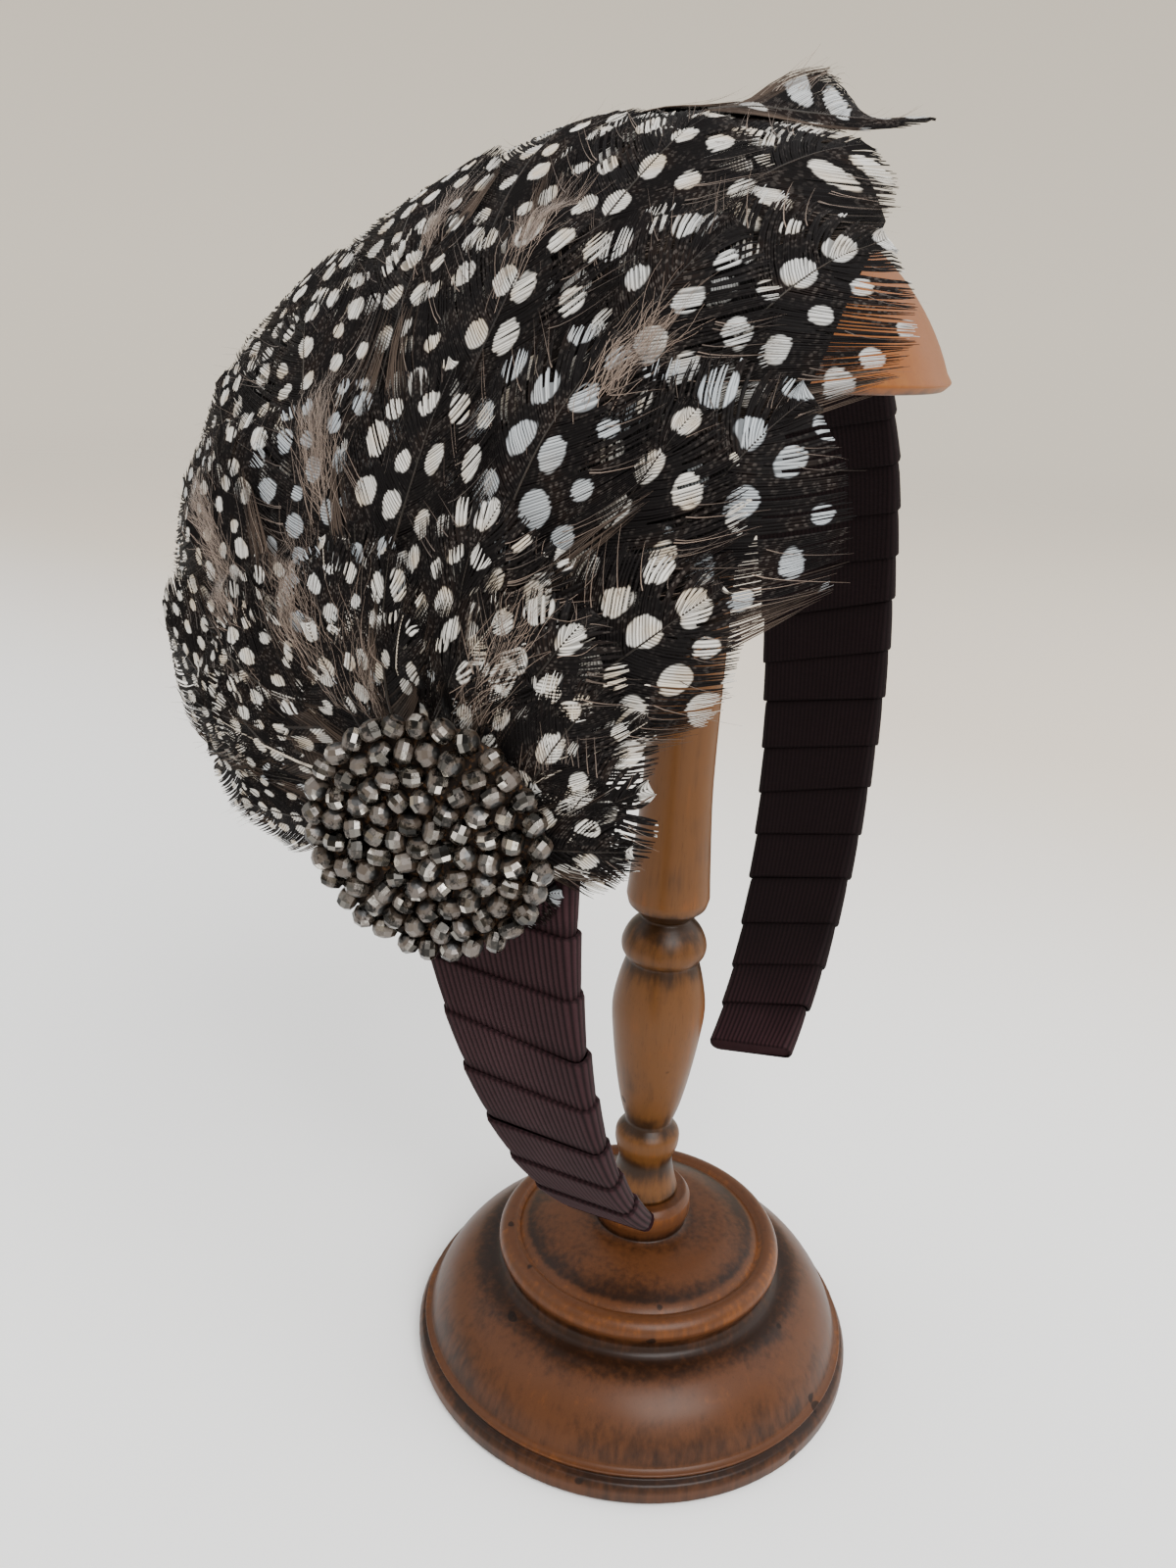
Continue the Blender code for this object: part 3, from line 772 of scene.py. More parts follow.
def net_look():
    look = Look("ornament_net", Specular_IOR_Level=0.2)
    mesh = look.noise(look.place(1.8), 2.0, 0.5)
    base = look.mix((0.010, 0.006, 0.004), (0.075, 0.036, 0.014), look.between(mesh, 0.5, 0.7))
    look.out(Base_Color=base, Roughness=0.8, Normal=look.bump(mesh, 0.5, 0.3))
    return look.material


# Pieces

class HEADBAND_OT_stand(Operator):
    """Turn the wooden foot, column and mushroom top"""
    bl_idname = "headband.stand"
    bl_label = "Turned stand"

    # Height in mm and painted light, from 0 for a groove in painted shade to 1 for a rubbed edge
    # with a painted highlight
    FOOT_WEAR_AND_PAINTED_LIGHT = [(0.0, 0.15), (2.4, 0.42), (4.6, 0.08), (5.6, 0.62), (6.6, 0.30), (10.5, 0.34),
                   (14.5, 0.52), (16.6, 0.34), (17.8, 0.02), (20.5, 0.18), (22.6, 0.68),
                   (24.6, 0.62), (25.2, 0.06), (26.4, 0.34), (27.3, 0.42), (27.9, 0.0),
                   (29.6, 0.34), (32.6, 0.75), (34.2, 0.35)]
    COLUMN_WEAR_AND_PAINTED_LIGHT = [(34.5, 0.10), (37.0, 0.55), (40.8, 0.02), (44.8, 0.62), (47.0, 0.45),
                     (48.9, 0.0), (55.0, 0.45), (66.0, 0.50), (74.0, 0.58), (80.0, 0.40),
                     (83.2, 0.02), (86.0, 0.42), (88.8, 0.20), (91.3, 0.0), (93.8, 0.10),
                     (95.8, 0.70), (100.0, 0.42), (120.0, 0.50), (160.0, 0.48), (182.0, 0.2)]
    TOP_WEAR_AND_PAINTED_LIGHT = [(0.0, 0.1), (182.6, 0.2), (183.8, 0.75), (186.0, 0.60), (200.0, 0.55),
                  (208.0, 0.5)]

    def execute(self, context):
        wish = settings("headband_stand")
        foot = wood_look("foot_wood", tuple(wish.foot_colour), tuple(wish.edge_wear_and_highlight_colour), COLLAR_TOP,
                         self.FOOT_WEAR_AND_PAINTED_LIGHT)
        column = wood_look("column_wood", tuple(wish.column_colour), tuple(wish.edge_wear_and_highlight_colour),
                           CAP_UNDERSIDE, self.COLUMN_WEAR_AND_PAINTED_LIGHT)
        top = wood_look("top_wood", tuple(wish.edge_wear_and_highlight_colour), tuple(wish.top_colour),
                        CAP_UNDERSIDE + CAP_HEIGHT, self.TOP_WEAR_AND_PAINTED_LIGHT, varnish=0.04)
        pieces = [("turned_foot", self.foot_profile(), foot, "stand_base"),
                  ("turned_column", self.column_profile(), column, "stand_column"),
                  ("turned_top", self.top_profile(), top, "stand_cap")]
        for name, profile, material, node in pieces:
            placed(lathe(profile, wish.segments), name, material, stands_for=[node])
        return {"FINISHED"}

    def foot_profile(self):
        collar = softened([(0.0, COLLAR_TOP), (8.2, COLLAR_TOP), (9.1, 33.0), (9.3, 30.4),
                           (8.6, 27.9), (8.9, 27.6)])
        low_dome = curved([(10.4, 27.5), (14.0, 27.2), (17.0, 26.7), (21.6, 25.0), (23.2, 23.9)])
        ring = [(24.6 + 2.4 * cos(radians(a)), 22.4 + 2.4 * sin(radians(a)))
                for a in range(110, -40, -12)]
        hollow = curved([(26.0, 19.6), (26.6, 18.3), (27.6, 17.7)], 3)
        shoulder = curved([(28.6, 17.6), (31.5, 16.9), (35.2, 14.1), (38.0, 10.2), (39.6, 6.3)])
        rim = softened([(39.8, 5.9), (40.9, 5.7), (40.2, 4.5), (41.4, 4.1), (FOOT_RADIUS, 3.0),
                        (FOOT_RADIUS, 0.8), (41.2, 0.0), (0.0, 0.0)], 0.3)
        return collar + low_dome + ring + hollow + shoulder + rim

    def column_profile(self):
        top = CAP_UNDERSIDE - GAP
        head = softened([(0.0, top), (9.0, top), (9.0, top - 3.5), (6.4, top - 7.5),
                         (6.2, top - 9.0)])
        shaft = curved([(6.1, 170.0), (6.0, 160.0), (6.0, 138.0), (6.0, 117.0), (6.7, 104.0),
                        (7.3, 95.9)])
        groove = softened([(7.3, 95.6), (6.9, 94.0), (4.6, 91.9), (4.4, 91.4)])
        neck_ring = curved([(4.6, 91.2), (6.4, 89.3), (7.5, 86.8), (7.4, 84.9), (6.4, 83.5)])
        vase = curved([(6.5, 83.1), (7.6, 79.0), (8.4, 73.7), (7.9, 67.6), (6.9, 60.5), (5.6, 53.8),
                       (4.2, 49.2)])
        rings = curved([(4.4, 48.9), (5.8, 47.2), (6.0, 45.6), (5.8, 44.2), (5.0, 41.4),
                        (5.7, 37.6), (6.6, COLLAR_TOP + GAP)])
        return head + shaft + groove + neck_ring + vase + rings + [(0.0, COLLAR_TOP + GAP)]

    def top_profile(self):
        dome = [(DOME_RADIUS * sin(radians(a)), DOME_CENTRE + DOME_RADIUS * cos(radians(a)))
                for a in range(0, 72, 3)]
        edge = softened([dome[-1], (CAP_RADIUS, CAP_UNDERSIDE + 1.2),
                         (CAP_RADIUS - 1.2, CAP_UNDERSIDE), (0.0, CAP_UNDERSIDE)])
        return dome + edge[1:]


def band_width(angle):
    end = NEAR_END if angle < 0 else FAR_END
    end_width = NEAR_END_WIDTH if angle < 0 else FAR_END_WIDTH
    share = (abs(angle) - WIDE_ANGLE) / (abs(end) - WIDE_ANGLE)
    return CROWN_WIDTH + (end_width - CROWN_WIDTH) * min(max(share, 0.0), 1.0)


def across_band(across, angle):
    """Steps from the arch's line to places across the band, which sways on the near leg."""
    sway = NEAR_SWAY * min(max((-angle - radians(50)) / radians(100), 0.0), 1.0)
    return np.stack([0 * across, across + sway, 0 * across], -1)


class HEADBAND_OT_ribbon(Operator):
    """Wrap the band in overlapping turns of ribbed ribbon"""
    bl_idname = "headband.ribbon"
    bl_label = "Ribbon wrapped band"

    # Along a turn, from its covered edge to its lip: share of the pitch and height
    TURN = [(-0.05, -0.30), (0.03, 0.0), (0.30, 0.12), (0.62, 0.27), (0.90, 0.40), (1.0, 0.45),
            (1.04, 0.40), (1.045, 0.05)]

    # The fold over an end, as (size, step back in mm), and the arch's radius there in mm
    FOLD = [(1.03, 0.3), (0.98, 0.05), (0.8, 0.0), (0.35, 0.0), (0.02, 0.0)]
    END_RADIUS = 90.0
    SEED = 4

    def execute(self, context):
        wish = settings("headband_ribbon")
        dice = random.Random(self.SEED)
        ends = np.interp([NEAR_END, FAR_END], ANGLES, LENGTHS)
        turns = ceil((ends[1] - ends[0]) / TURN_PITCH)
        edges = np.linspace(ends[0], ends[1], turns + 1)
        pitch = edges[1] - edges[0]
        bm = bmesh.new()
        for number, start in enumerate(edges[:-1]):
            slant = TURN_SLANT * dice.uniform(0.6, 1.4)
            shift = dice.uniform(-0.35, 0.35) if 0 < number < turns - 1 else 0.0
            self.wrap(bm, start + shift, pitch, slant, wish.rib_pitch, wish.rib_height)
        for along, outwards in ((ends[0], -1), (ends[1], 1)):
            self.cover_end(bm, along, outwards)
        placed(bm, "wrapped_ribbon", ribbon_look(wish.colour),
               stands_for=["headband"])
        return {"FINISHED"}

    def section(self, angle, columns):
        """Places round the band's section as (across, out) and their outward directions."""
        half, deep, edge = band_width(angle) / 2, BAND_THICKNESS / 2, 1.0
        corners = [(half - edge, deep), (half - 0.3, deep - 0.3), (half, deep - edge),
                   (half, edge - deep), (half - 0.3, 0.3 - deep), (half - edge, -deep),
                   (edge - half, -deep), (0.3 - half, 0.3 - deep), (-half, edge - deep),
                   (-half, deep - edge), (0.3 - half, deep - 0.3), (edge - half, deep),
                   (half - edge, deep)]
        corners = np.array(corners)
        length = way_along(corners)
        place = np.linspace(0.0, length[-1], columns)
        points = np.stack([np.interp(place, length, corners[:, k]) for k in (0, 1)], -1)
        run = np.roll(points[:-1], -1, 0) - np.roll(points[:-1], 1, 0)
        run = np.concatenate([run, run[:1]])
        outward = np.stack([run[:, 1], -run[:, 0]], -1)
        outward /= np.linalg.norm(outward, axis=1, keepdims=True)
        if np.sum(outward[0] * [0, 1]) < 0:
            outward = -outward
        return points, outward, place

    def wrap(self, bm, start, pitch, slant, rib_pitch, rib_height):
        middle = float(np.interp(start + pitch / 2, LENGTHS, ANGLES))
        round_length = self.section(middle, 40)[2][-1]
        ribs = int(round(round_length / rib_pitch))
        columns = 2 * ribs + 1
        ridge = (np.arange(columns) % 2).astype(float)
        sheet, weave = [], []
        for share, rise in self.TURN:
            along = start + share * pitch
            angle = float(np.interp(along, LENGTHS, ANGLES))
            points, outward, place = self.section(angle, columns)
            lip = 1.0 if 0.05 < share < 1.03 else 0.5
            height = rise + rib_height * (ridge * lip - 0.35)
            across, out = (points + outward * height[:, None]).T
            turned = angle + slant * across / CROWN_WIDTH
            sheet.append(arch_point(turned, out) + across_band(across, angle))
            weave.append(np.stack(np.broadcast_arrays(place, along, ridge * lip), -1))
        add_sheet(bm, to_world(np.array(sheet)), {"weave": np.array(weave)})

    def cover_end(self, bm, along, outwards):
        """The ribbon folded over the band's end."""
        angle = float(np.interp(along, LENGTHS, ANGLES))
        points, _, place = self.section(angle, 49)
        sheet, weave = [], []
        for shrink, push in self.FOLD:
            across, out = points.T * shrink
            step = outwards * (0.5 - push) / self.END_RADIUS
            turned = angle + step + TURN_SLANT * across / CROWN_WIDTH
            sheet.append(arch_point(turned, out) + across_band(across, angle))
            weave.append(np.stack(np.broadcast_arrays(place, along, 0.6), -1))
        add_sheet(bm, to_world(np.array(sheet)), {"weave": np.array(weave)})


class HEADBAND_OT_backing(Operator):
    """Soften the felt that the feathers are sewn to"""
    bl_idname = "headband.backing"
    bl_label = "Felt backing"

    def execute(self, context):
        bm = bmesh.new()
        bm.from_mesh(NODES["feather_backing"].data)
        bmesh.ops.remove_doubles(bm, verts=bm.verts, dist=0.00001)
        bmesh.ops.subdivide_edges(bm, edges=bm.edges, cuts=1, use_grid_fill=True)
        bmesh.ops.smooth_vert(bm, verts=bm.verts, factor=0.3, use_axis_x=True, use_axis_y=True,
                              use_axis_z=True)
        placed(bm, "felt_backing", felt_look(), stands_for=["feather_backing"])
        return {"FINISHED"}


class HEADBAND_OT_feathers(Operator):
    """Grow the barbs and shafts of every feather over its solid"""
    bl_idname = "headband.feathers"
    bl_label = "Guinea fowl feathers"

    # Shares of the feather's length: the first barb's root, a barb's reach, the down's end
    FIRST_BARB = -0.02
    BARB_REACH = 0.50
    DOWN_END = 0.20

    # Barbs part beyond this share of their own reach, and before it here and there
    OPEN_FROM = 0.40
    SLIT_CHANCE = 0.08

    # How far apart the patterns of two feathers are, along and aside, in mm
    PATTERN_SHIFT = (61.0, 37.0)
    BAR_STRETCH = 2.4

    def execute(self, context):
        wish = settings("headband_feathers")
        material = vane_look("spotted_vane", tuple(wish.ground), tuple(wish.spots),
                             tuple(wish.down), wish.spot_pitch)
        shafts = bmesh.new()
        for number, feather in laid_feathers():
            bm = bmesh.new()
            self.dress(bm, shafts, feather, number, wish)
            placed(bm, f"vane_{number:02d}", material,
                   stands_for=[f"feather_{number:02d}"])
        small = bmesh.new()
        tree = solids_tree()
        for number, feather in enumerate(small_feathers(), start=FIRST_SMALL):
            feather.fall_on(tree)
            self.dress(small, shafts, feather, number, wish)
        placed(small, "small_feathers", material)
        placed(shafts, "feather_shafts", shaft_look())
        return {"FINISHED"}

    def dress(self, bm, shafts, feather, number, wish):
        """The vane goes into one mesh and the shaft into another."""
        dice = np.random.default_rng(BARB_SEED + number)
        self.grow(bm, feather, number, dice, wish.barb_pitch, wish.loose)
        self.add_shaft(shafts, feather, dice)

    def grow(self, bm, feather, number, dice, pitch, loose):
        """Both sides of a vane in one sheet: three columns a barb, split apart at the edge."""
        first = self.FIRST_BARB
        barbs = int(feather.length * (1 - first) / pitch)
        out = np.concatenate([-np.array(BARB_ROWS)[::-1], BARB_ROWS])
        side = np.concatenate([-np.ones(len(BARB_ROWS)), np.ones(len(BARB_ROWS))])
        reach = np.abs(out)[:, None]
        barb = np.repeat(np.arange(barbs), 3)[None, :]
        part = np.tile([-1.0, 0.0, 1.0], barbs)[None, :]
        left = side[:, None] < 0

        def for_sides(draw):
            """One number a barb, drawn for the left side and then for the right."""
            return np.where(left, draw()[barb], draw()[barb])

        pull = for_sides(lambda: self.clumps(barbs, dice))
        stretch = for_sides(lambda: dice.normal(0, 1, barbs))
        rise = for_sides(lambda: dice.random(barbs))
        tint = for_sides(lambda: dice.random(barbs))
        taper = 1.0 - 0.70 * np.clip((reach - 0.72) / 0.28, 0, 1) ** 1.6
        across = barb + 0.5 + part * 0.48 * taper + pull * loose * reach ** 4
        start = first + (1 - first) * np.clip(across / barbs, 0.0, 1.0)
        end = start + self.BARB_REACH * np.clip(1.0 - start, 0, 1) ** 0.62 * (1 + 0.04 * stretch)
        end = np.minimum(end, 1.01)
        half = feather.half_width(end) * np.clip(0.97 + 0.035 * stretch * loose, 0.8, 1.06)
        share = (start * (1 - reach) ** 2 + 2 * reach * (1 - reach) * (start + 0.34 * (end - start))
                 + reach ** 2 * end)
        aside = side[:, None] * (0.10 + half * (2 * reach * (1 - reach) * 0.66 + reach ** 2))
        # ridge is 1 along a barb's middle, which stands higher, and 0 at its sides, where the
        # vane's material paints shade
        ridge = 1.0 - np.abs(part) + 0 * reach
        lift = (0.22 + 0.16 * ridge * taper + 0.35 * share ** 3
                + loose * reach ** 4 * (0.5 * rise - 0.12))
        fluff = (np.clip((self.DOWN_END + 0.04 * stretch - start) / 0.14, 0, 1)
                 * np.clip(reach * 2.0, 0.5, 1))
        points = feather.surface(share, aside, lift)
        small = feather.spot_size()
        wide = small * (self.BAR_STRETCH if feather.barred() else 1.0)
        rest = np.stack([share * feather.length / small + self.PATTERN_SHIFT[0] * number,
                         aside / wide + self.PATTERN_SHIFT[1] * number,
                         np.full(share.shape, float(number))], -1)
        pale = np.full(share.shape, float(dice.random()))
        drop = np.zeros((len(out), 3 * barbs), bool)
        joint = np.arange(3 * barbs) % 3 == 2
        middle = np.minimum(np.abs(out)[:-1], np.abs(out)[1:])
        slits = dice.random((len(out) - 1, 3 * barbs)) < self.SLIT_CHANCE
        drop[:-1] = joint[None, :] & ((middle[:, None] > self.OPEN_FROM) | slits)
        add_sheet(bm, points, {"rest": rest, "ridge": ridge + 0 * share, "tint": tint + 0 * share,
                               "fluff": fluff, "pale": pale}, drop)

    @staticmethod
    def clumps(barbs, dice):
        """How far each barb leans towards the middle of its clump, in barbs."""
        lean = np.zeros(barbs)
        k = 0
        while k < barbs:
            size = int(dice.integers(3, 12))
            members = np.arange(k, min(k + size, barbs))
            lean[members] = (members.mean() - members) * 0.12 + dice.normal(0, 0.7)
            k += size
        return lean

    @staticmethod
    def add_shaft(bm, feather, dice):
        share = np.linspace(0.0, 0.985, 15)
        angle = np.linspace(0, 2 * pi, 7)
        radius = 0.24 - 0.20 * share
        aside = radius[:, None] * np.cos(angle)[None, :]
        lift = 0.32 + 0.35 * share[:, None] ** 3 + radius[:, None] * np.sin(angle)[None, :]
        points = feather.surface(np.broadcast_to(share[:, None], aside.shape), aside, lift)
        pale = 0.8 if dice.random() < 0.08 else dice.random() * 0.04
        add_sheet(bm, points, {"tint": np.full(aside.shape, pale)})


class HEADBAND_OT_down(Operator):
    """Add down tufts and stray barbs"""
    bl_idname = "headband.down"
    bl_label = "Down and stray barbs"

    # Tufts: distance along the arch from the fan's middle, and side, count, length and spread
    TUFTS = [(46, 14, 170, 9.0, 1.5), (40, 34, 120, 8.0, 1.4), (80, 10, 90, 8.0, 1.1),
             (74, -8, 110, 8.0, 1.3), (27, 12, 190, 7.0, 1.8), (56, -24, 110, 8.0, 1.3),
             (22, -16, 110, 6.0, 1.6), (30, 27, 150, 7.0, 1.7), (20, 3, 120, 6.0, 2.0)]

    # Half the width at the root, in mm
    STRAY_WIDTH = 0.065
    HAIR_WIDTH = 0.032
    SEED = 21

    def execute(self, context):
        wish = settings("headband_feathers")
        dice = np.random.default_rng(self.SEED)
        bm = bmesh.new()
        for _, feather in laid_feathers():
            for _ in range(int(16 + 14 * dice.random())):
                self.stray_barb(bm, feather, dice)
        tree = solids_tree()
        for along, side, count, length, spread in self.TUFTS:
            heading = atan2(side, along)
            for _ in range(count):
                slide, shift = dice.normal(0, 2.6 * spread), dice.normal(0, 0.8 * spread)
                root = (along + slide * cos(heading) - shift * sin(heading),
                        side + slide * sin(heading) + shift * cos(heading))
                self.down_hair(bm, tree, root, heading + dice.normal(0, 0.26),
                               length * dice.uniform(0.5, 1.3), dice)
        placed(bm, "down_and_stray_barbs", down_look(tuple(wish.down)))
        return {"FINISHED"}

    def stray_barb(self, bm, feather, dice):
        """A thin barb that leaves the vane's edge."""
        t = np.linspace(0, 1, 7)
        side = dice.choice([-1.0, 1.0])
        start = dice.uniform(0.25, 0.95)
        curl = dice.normal(0, 1.2)
        share = start + (0.20 + 0.10 * dice.random()) * t ** 1.3 * np.sqrt(max(1 - start, 0.05))
        edge = feather.half_width(min(start + 0.1, 1.0))
        aside = side * (edge * (0.55 + 0.5 * t) + 0.6 * curl * t ** 2)
        lift = 0.7 + (0.4 + 1.6 * dice.random()) * t ** 2
        width = self.STRAY_WIDTH * (1 - 0.85 * t)
        sheet = np.stack([feather.surface(share + k * width / feather.length, aside, lift)
                          for k in (-1, 1)], 1)
        right = np.clip(-feather.tip[1] / 60, 0, 1)
        tint = 0.05 + (0.45 + 0.5 * right) * dice.random() ** (2.5 - 1.2 * right)
        add_sheet(bm, sheet, {"tint": np.full(sheet.shape[:2], tint)})

    def down_hair(self, bm, tree, root, heading, length, dice):
        """A fluffy hair that lies on the feathers, slightly curled."""
        t = np.linspace(0, 1, 8)
        wave = dice.uniform(0.1, 0.5) * np.sin(t * dice.uniform(3, 7) + dice.uniform(0, 6))
        x = FAN_ALONG + root[0] + length * t * cos(heading) + wave * sin(heading)
        y = FAN_SIDE + root[1] + length * t * sin(heading) - wave * cos(heading)
        heights = heights_below(tree, *shell_frame(x, y))
        height = np.convolve(np.pad(heights, 1, mode="edge"), [0.25, 0.5, 0.25], "valid")
        height += 0.5 + 0.9 * dice.random() * np.sin(t * pi * 0.8)
        width = self.HAIR_WIDTH * (1 - 0.6 * t)
        sheet = np.stack([to_world(shell_point(x + k * width * sin(heading),
                                               y - k * width * cos(heading), height))
                          for k in (-1, 1)], 1)
        add_sheet(bm, sheet, {"tint": np.full(sheet.shape[:2], 0.3 + 0.7 * dice.random())})


class HEADBAND_OT_ornament(Operator):
    """Sew the cut steel beads on their patch"""
    bl_idname = "headband.ornament"
    bl_label = "Bead ornament"

    PATCH_SEGMENTS = 48
    BEAD_SEGMENTS, BEAD_STEPS = 9, 7
    SEED = 8

    def execute(self, context):
        wish = settings("headband_ornament")
        place = self.place()
        patch_radius = ORNAMENT_RADIUS - BEAD_RADIUS * 0.4
        rim, rise = 1.0, 1.6
        profile = softened([(0.0, rim + rise), (patch_radius * 0.55, rim + rise * 0.72),
                            (patch_radius, rim), (patch_radius, 0.0), (0.0, 0.0)], 0.5)
        patch = lathe(profile, self.PATCH_SEGMENTS)
        bmesh.ops.transform(patch, matrix=place, verts=patch.verts)
        placed(patch, "ornament_patch", net_look(), stands_for=["bead_ornament"])

        dice = random.Random(self.SEED)
        beads = bmesh.new()
        hole = beads.verts.layers.float.new("hole")
        facet = beads.faces.layers.float.new("facet")
        pitch = (ORNAMENT_RADIUS - BEAD_RADIUS * 0.55) / BEAD_RINGS
        for ring in range(BEAD_RINGS + 1):
            count = max(6 * ring, 1)
            for k in range(count):
                angle = 2 * pi * (k + 0.3 * ring + dice.uniform(-0.08, 0.08)) / count
                radius = pitch * ring * dice.uniform(0.985, 1.01)
                height = rim + rise * (1 - (radius / patch_radius) ** 2) + BEAD_RADIUS * 0.45
                spot = Vector((radius * cos(angle), radius * sin(angle),
                               height + dice.uniform(-0.1, 0.1)))
                lean = Euler((dice.uniform(0.9, 1.6), dice.uniform(-0.6, 0.6),
                              dice.uniform(0, 6.28)))
                matrix = place @ Matrix.Translation(spot * MM) @ lean.to_matrix().to_4x4()
                self.add_bead(beads, matrix, hole, facet, dice)
        placed(beads, "cut_steel_beads", steel_look(tuple(wish.steel), tuple(wish.rust)),
               smooth=False)
        return {"FINISHED"}

    def add_bead(self, bm, matrix, hole, facet, dice):
        """A faceted bead whose hole is not modelled but painted in shade at its poles, and a
        painted reflection of its own on each facet.
        """
        made = bmesh.ops.create_uvsphere(bm, u_segments=self.BEAD_SEGMENTS,
                                         v_segments=self.BEAD_STEPS,
                                         radius=BEAD_RADIUS * MM * dice.uniform(1.06, 1.13))
        for vert in made["verts"]:
            z = vert.co.z / (BEAD_RADIUS * MM)
            # hole rises to 1 at the poles, where the material paints the hole's shade
            vert[hole] = min(abs(z) ** 2.2 * 1.05, 1.0)
            vert.co.z *= 0.92 if abs(z) < 0.9 else 0.80
        tone = dice.uniform(0.5, 1.0)
        for face in sorted(faces_round(made["verts"]), key=self.facet_place):
            # Each facet's painted reflection, from dark to a bright glint, scaled by the bead's own
            # tone
            face[facet] = tone * dice.random() ** 2.6
        bmesh.ops.transform(bm, matrix=matrix, verts=made["verts"])

    @staticmethod
    def facet_place(face):
        """A facet's centre to a thousandth of a millimetre: its turn in each run's order."""
        return [round(part / MM, 3) for part in face.calc_center_median()]

    @staticmethod
    def place():
        """The patch's own frame, read from where its solid rests."""
        middle = FAN + [ORNAMENT_ALONG, ORNAMENT_SIDE]
        base, normal = shell_frame(*middle)
        ahead = shell_frame(middle[0] + 1.0, middle[1])[0] - base
        ahead = (Vector(ahead) - Vector(ahead).dot(Vector(normal)) * Vector(normal)).normalized()
        outward = Vector(normal) * cos(ORNAMENT_TILT) - ahead * sin(ORNAMENT_TILT)
        upward = ahead * cos(ORNAMENT_TILT) + Vector(normal) * sin(ORNAMENT_TILT)
        outward = Matrix.Rotation(ORNAMENT_TURN, 3, upward) @ outward
        rest = float(np.min((node_points("bead_ornament") - base) @ np.array(outward)))
        place = Matrix((upward, outward.cross(upward), outward)).transposed().to_4x4()
        place.translation = Vector(base) + outward * rest
        place = REST @ place
        place.translation *= MM
        return place


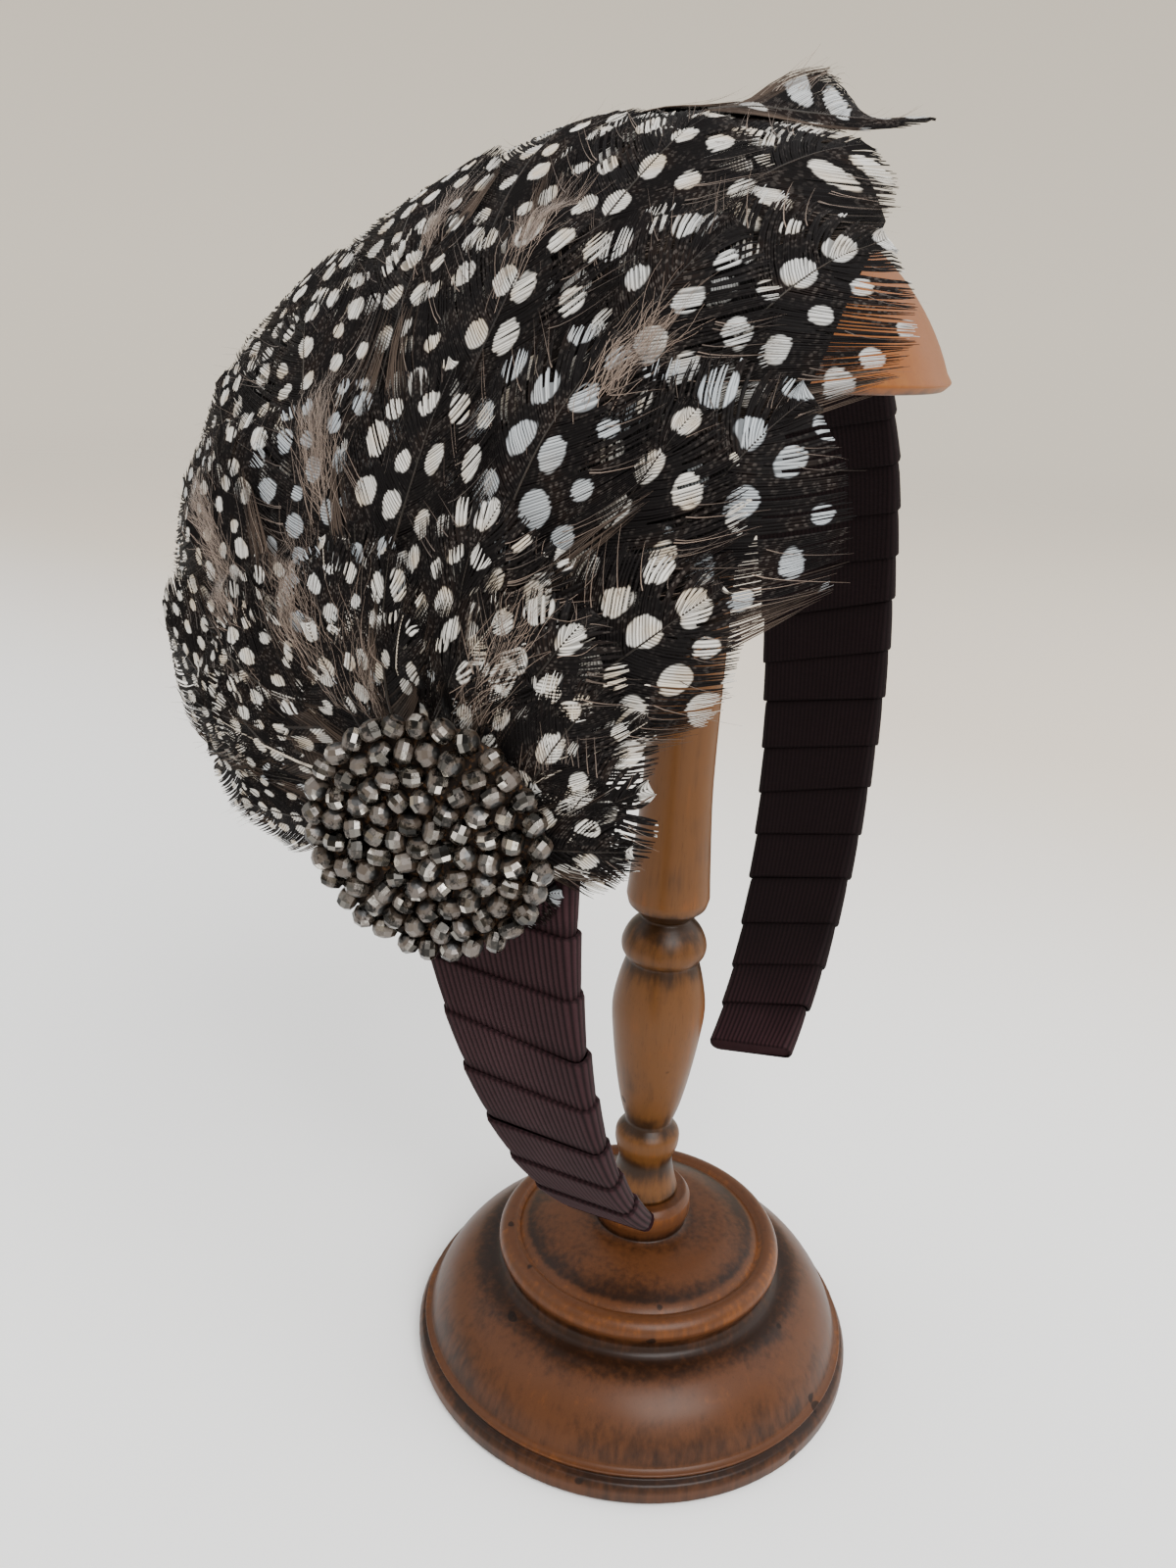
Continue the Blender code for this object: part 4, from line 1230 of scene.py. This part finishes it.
class HEADBAND_OT_stage(Operator):
    """Set the pale floor, the soft lights and the camera"""
    bl_idname = "headband.stage"
    bl_label = "Floor, lights and camera"

    # The camera, solved from the foot's ellipses: angles, lens in mm, place in foot radii
    PITCH, ROLL, HEADING = 0.359, 0.062, radians(24.15)
    LENS, SENSOR = 29.925, 36.0
    CAMERA_SPOT = (-0.362, -4.928, 4.591)

    # Lamps, aimed at one point: name, place and size in metres, power in watts
    LAMPS = [("key", (-0.65, -0.75, 1.05), 0.9, 27.0), ("fill", (0.70, -0.80, 0.60), 1.3, 8.0),
             ("rim", (-0.35, 0.75, 0.9), 1.3, 4.0)]
    AIM = (-0.01, 0.01, 0.12)

    # What the world shows, from the horizon up, and the floor towards the back
    WORLD_STRENGTH = 1.12
    WORLD = [(0.0, (0.89, 0.80, 0.66)), (0.20, (0.80, 0.71, 0.58)), (0.5, (0.9, 0.9, 0.9))]
    FLOOR_RADIUS = 4.0
    FLOOR_BACK = (0.76, 0.675, 0.565)

    def execute(self, context):
        wish = settings("headband_stage")
        self.add_floor(wish.floor)
        self.add_lights(wish.light)
        self.add_camera()
        return {"FINISHED"}

    def add_floor(self, colour):
        bm = bmesh.new()
        bmesh.ops.create_circle(bm, cap_ends=True, segments=96, radius=self.FLOOR_RADIUS)
        mesh = bpy.data.meshes.new("floor")
        bm.to_mesh(mesh)
        bm.free()
        look = Look("pale_floor", Roughness=0.7, Specular_IOR_Level=0.2)
        spot = look.place()
        away = look.vector("LENGTH", spot, output=1)
        back = look.vector("DOT_PRODUCT", spot, tuple(self.turned(0.5, 0.75, 0.0)), output=1)
        shade = look.mix(tuple(colour), self.FLOOR_BACK, look.between(back, 40.0, 420.0))
        look.out(Base_Color=shade, Alpha=look.between(away, 1900.0, 500.0))
        mesh.materials.append(look.material)
        floor = bpy.data.objects.new("floor", mesh)
        bpy.context.scene.collection.objects.link(floor)

    def add_lights(self, strength):
        world = bpy.data.worlds.new("studio")
        world.use_nodes = True
        sky = world.node_tree.nodes["Background"]
        sky.inputs["Strength"].default_value = self.WORLD_STRENGTH
        ways = world.node_tree.nodes.new("ShaderNodeTexCoord")
        split = world.node_tree.nodes.new("ShaderNodeSeparateXYZ")
        ramp = world.node_tree.nodes.new("ShaderNodeValToRGB")
        Look.set_stops(ramp.color_ramp, self.WORLD)
        world.node_tree.links.new(ways.outputs["Generated"], split.inputs[0])
        world.node_tree.links.new(split.outputs[2], ramp.inputs[0])
        world.node_tree.links.new(ramp.outputs[0], sky.inputs["Color"])
        bpy.context.scene.world = world
        for name, spot, size, power in self.LAMPS:
            lamp = bpy.data.lights.new(name, "AREA")
            lamp.size = size
            lamp.energy = power * strength
            made = bpy.data.objects.new(name, lamp)
            made.location = spot
            aim = Vector(self.AIM) - Vector(spot)
            made.rotation_mode = "QUATERNION"
            made.rotation_quaternion = aim.to_track_quat("-Z", "Y")
            bpy.context.scene.collection.objects.link(made)

    def turned(self, x, y, z):
        """From the camera's own heading to the part's axes."""
        h = self.HEADING
        return Vector((x * sin(h) + y * cos(h), -x * cos(h) + y * sin(h), z))

    def add_camera(self):
        ahead = Vector((0.0, cos(self.PITCH), -sin(self.PITCH)))
        up = Vector((0.0, sin(self.PITCH), cos(self.PITCH)))
        right = Vector((1.0, 0.0, 0.0))
        c, s = cos(self.ROLL), sin(self.ROLL)
        rolled_right = right * c + up * s
        rolled_up = up * c - right * s
        data = bpy.data.cameras.new("camera")
        data.lens = self.LENS
        data.sensor_width = self.SENSOR
        data.clip_start = 0.01
        data.clip_end = 20.0
        camera = bpy.data.objects.new("camera", data)
        axes = [self.turned(*axis) for axis in (rolled_right, rolled_up, -ahead)]
        matrix = Matrix(axes).transposed().to_4x4()
        matrix.translation = self.turned(*self.CAMERA_SPOT) * FOOT_RADIUS * MM
        camera.matrix_world = matrix
        bpy.context.scene.collection.objects.link(camera)
        bpy.context.scene.camera = camera


class HEADBAND_PT_panel(Panel):
    """Sizes and colours of the headband, and a button for each of its pieces"""
    bl_idname = "HEADBAND_PT_panel"
    bl_label = "Feather headband"
    bl_space_type = "VIEW_3D"
    bl_region_type = "UI"
    bl_category = "Headband"

    def draw(self, context):
        for name, _, operators in GROUPS:
            box = self.layout.box()
            wish = settings(name)
            for key in wish.__annotations__:
                box.prop(wish, key)
            for operator in operators:
                box.operator(operator.bl_idname)


GROUPS = [("headband_stand", StandSettings, [HEADBAND_OT_stand]),
          ("headband_ribbon", RibbonSettings, [HEADBAND_OT_ribbon, HEADBAND_OT_backing]),
          ("headband_feathers", FeatherSettings, [HEADBAND_OT_feathers, HEADBAND_OT_down]),
          ("headband_ornament", OrnamentSettings, [HEADBAND_OT_ornament]),
          ("headband_stage", StageSettings, [HEADBAND_OT_stage])]


def register():
    for name, group, operators in GROUPS:
        bpy.utils.register_class(group)
        setattr(bpy.types.Scene, name, PointerProperty(type=group))
        for operator in operators:
            bpy.utils.register_class(operator)
    bpy.utils.register_class(HEADBAND_PT_panel)


def unregister():
    bpy.utils.unregister_class(HEADBAND_PT_panel)
    for name, group, operators in reversed(GROUPS):
        for operator in operators:
            bpy.utils.unregister_class(operator)
        delattr(bpy.types.Scene, name)
        bpy.utils.unregister_class(group)


def main():
    register()
    bpy.ops.headband.stand()
    bpy.ops.headband.ribbon()
    bpy.ops.headband.backing()
    bpy.ops.headband.feathers()
    bpy.ops.headband.down()
    bpy.ops.headband.ornament()
    bpy.ops.headband.stage()


if __name__ == "__main__":
    main()
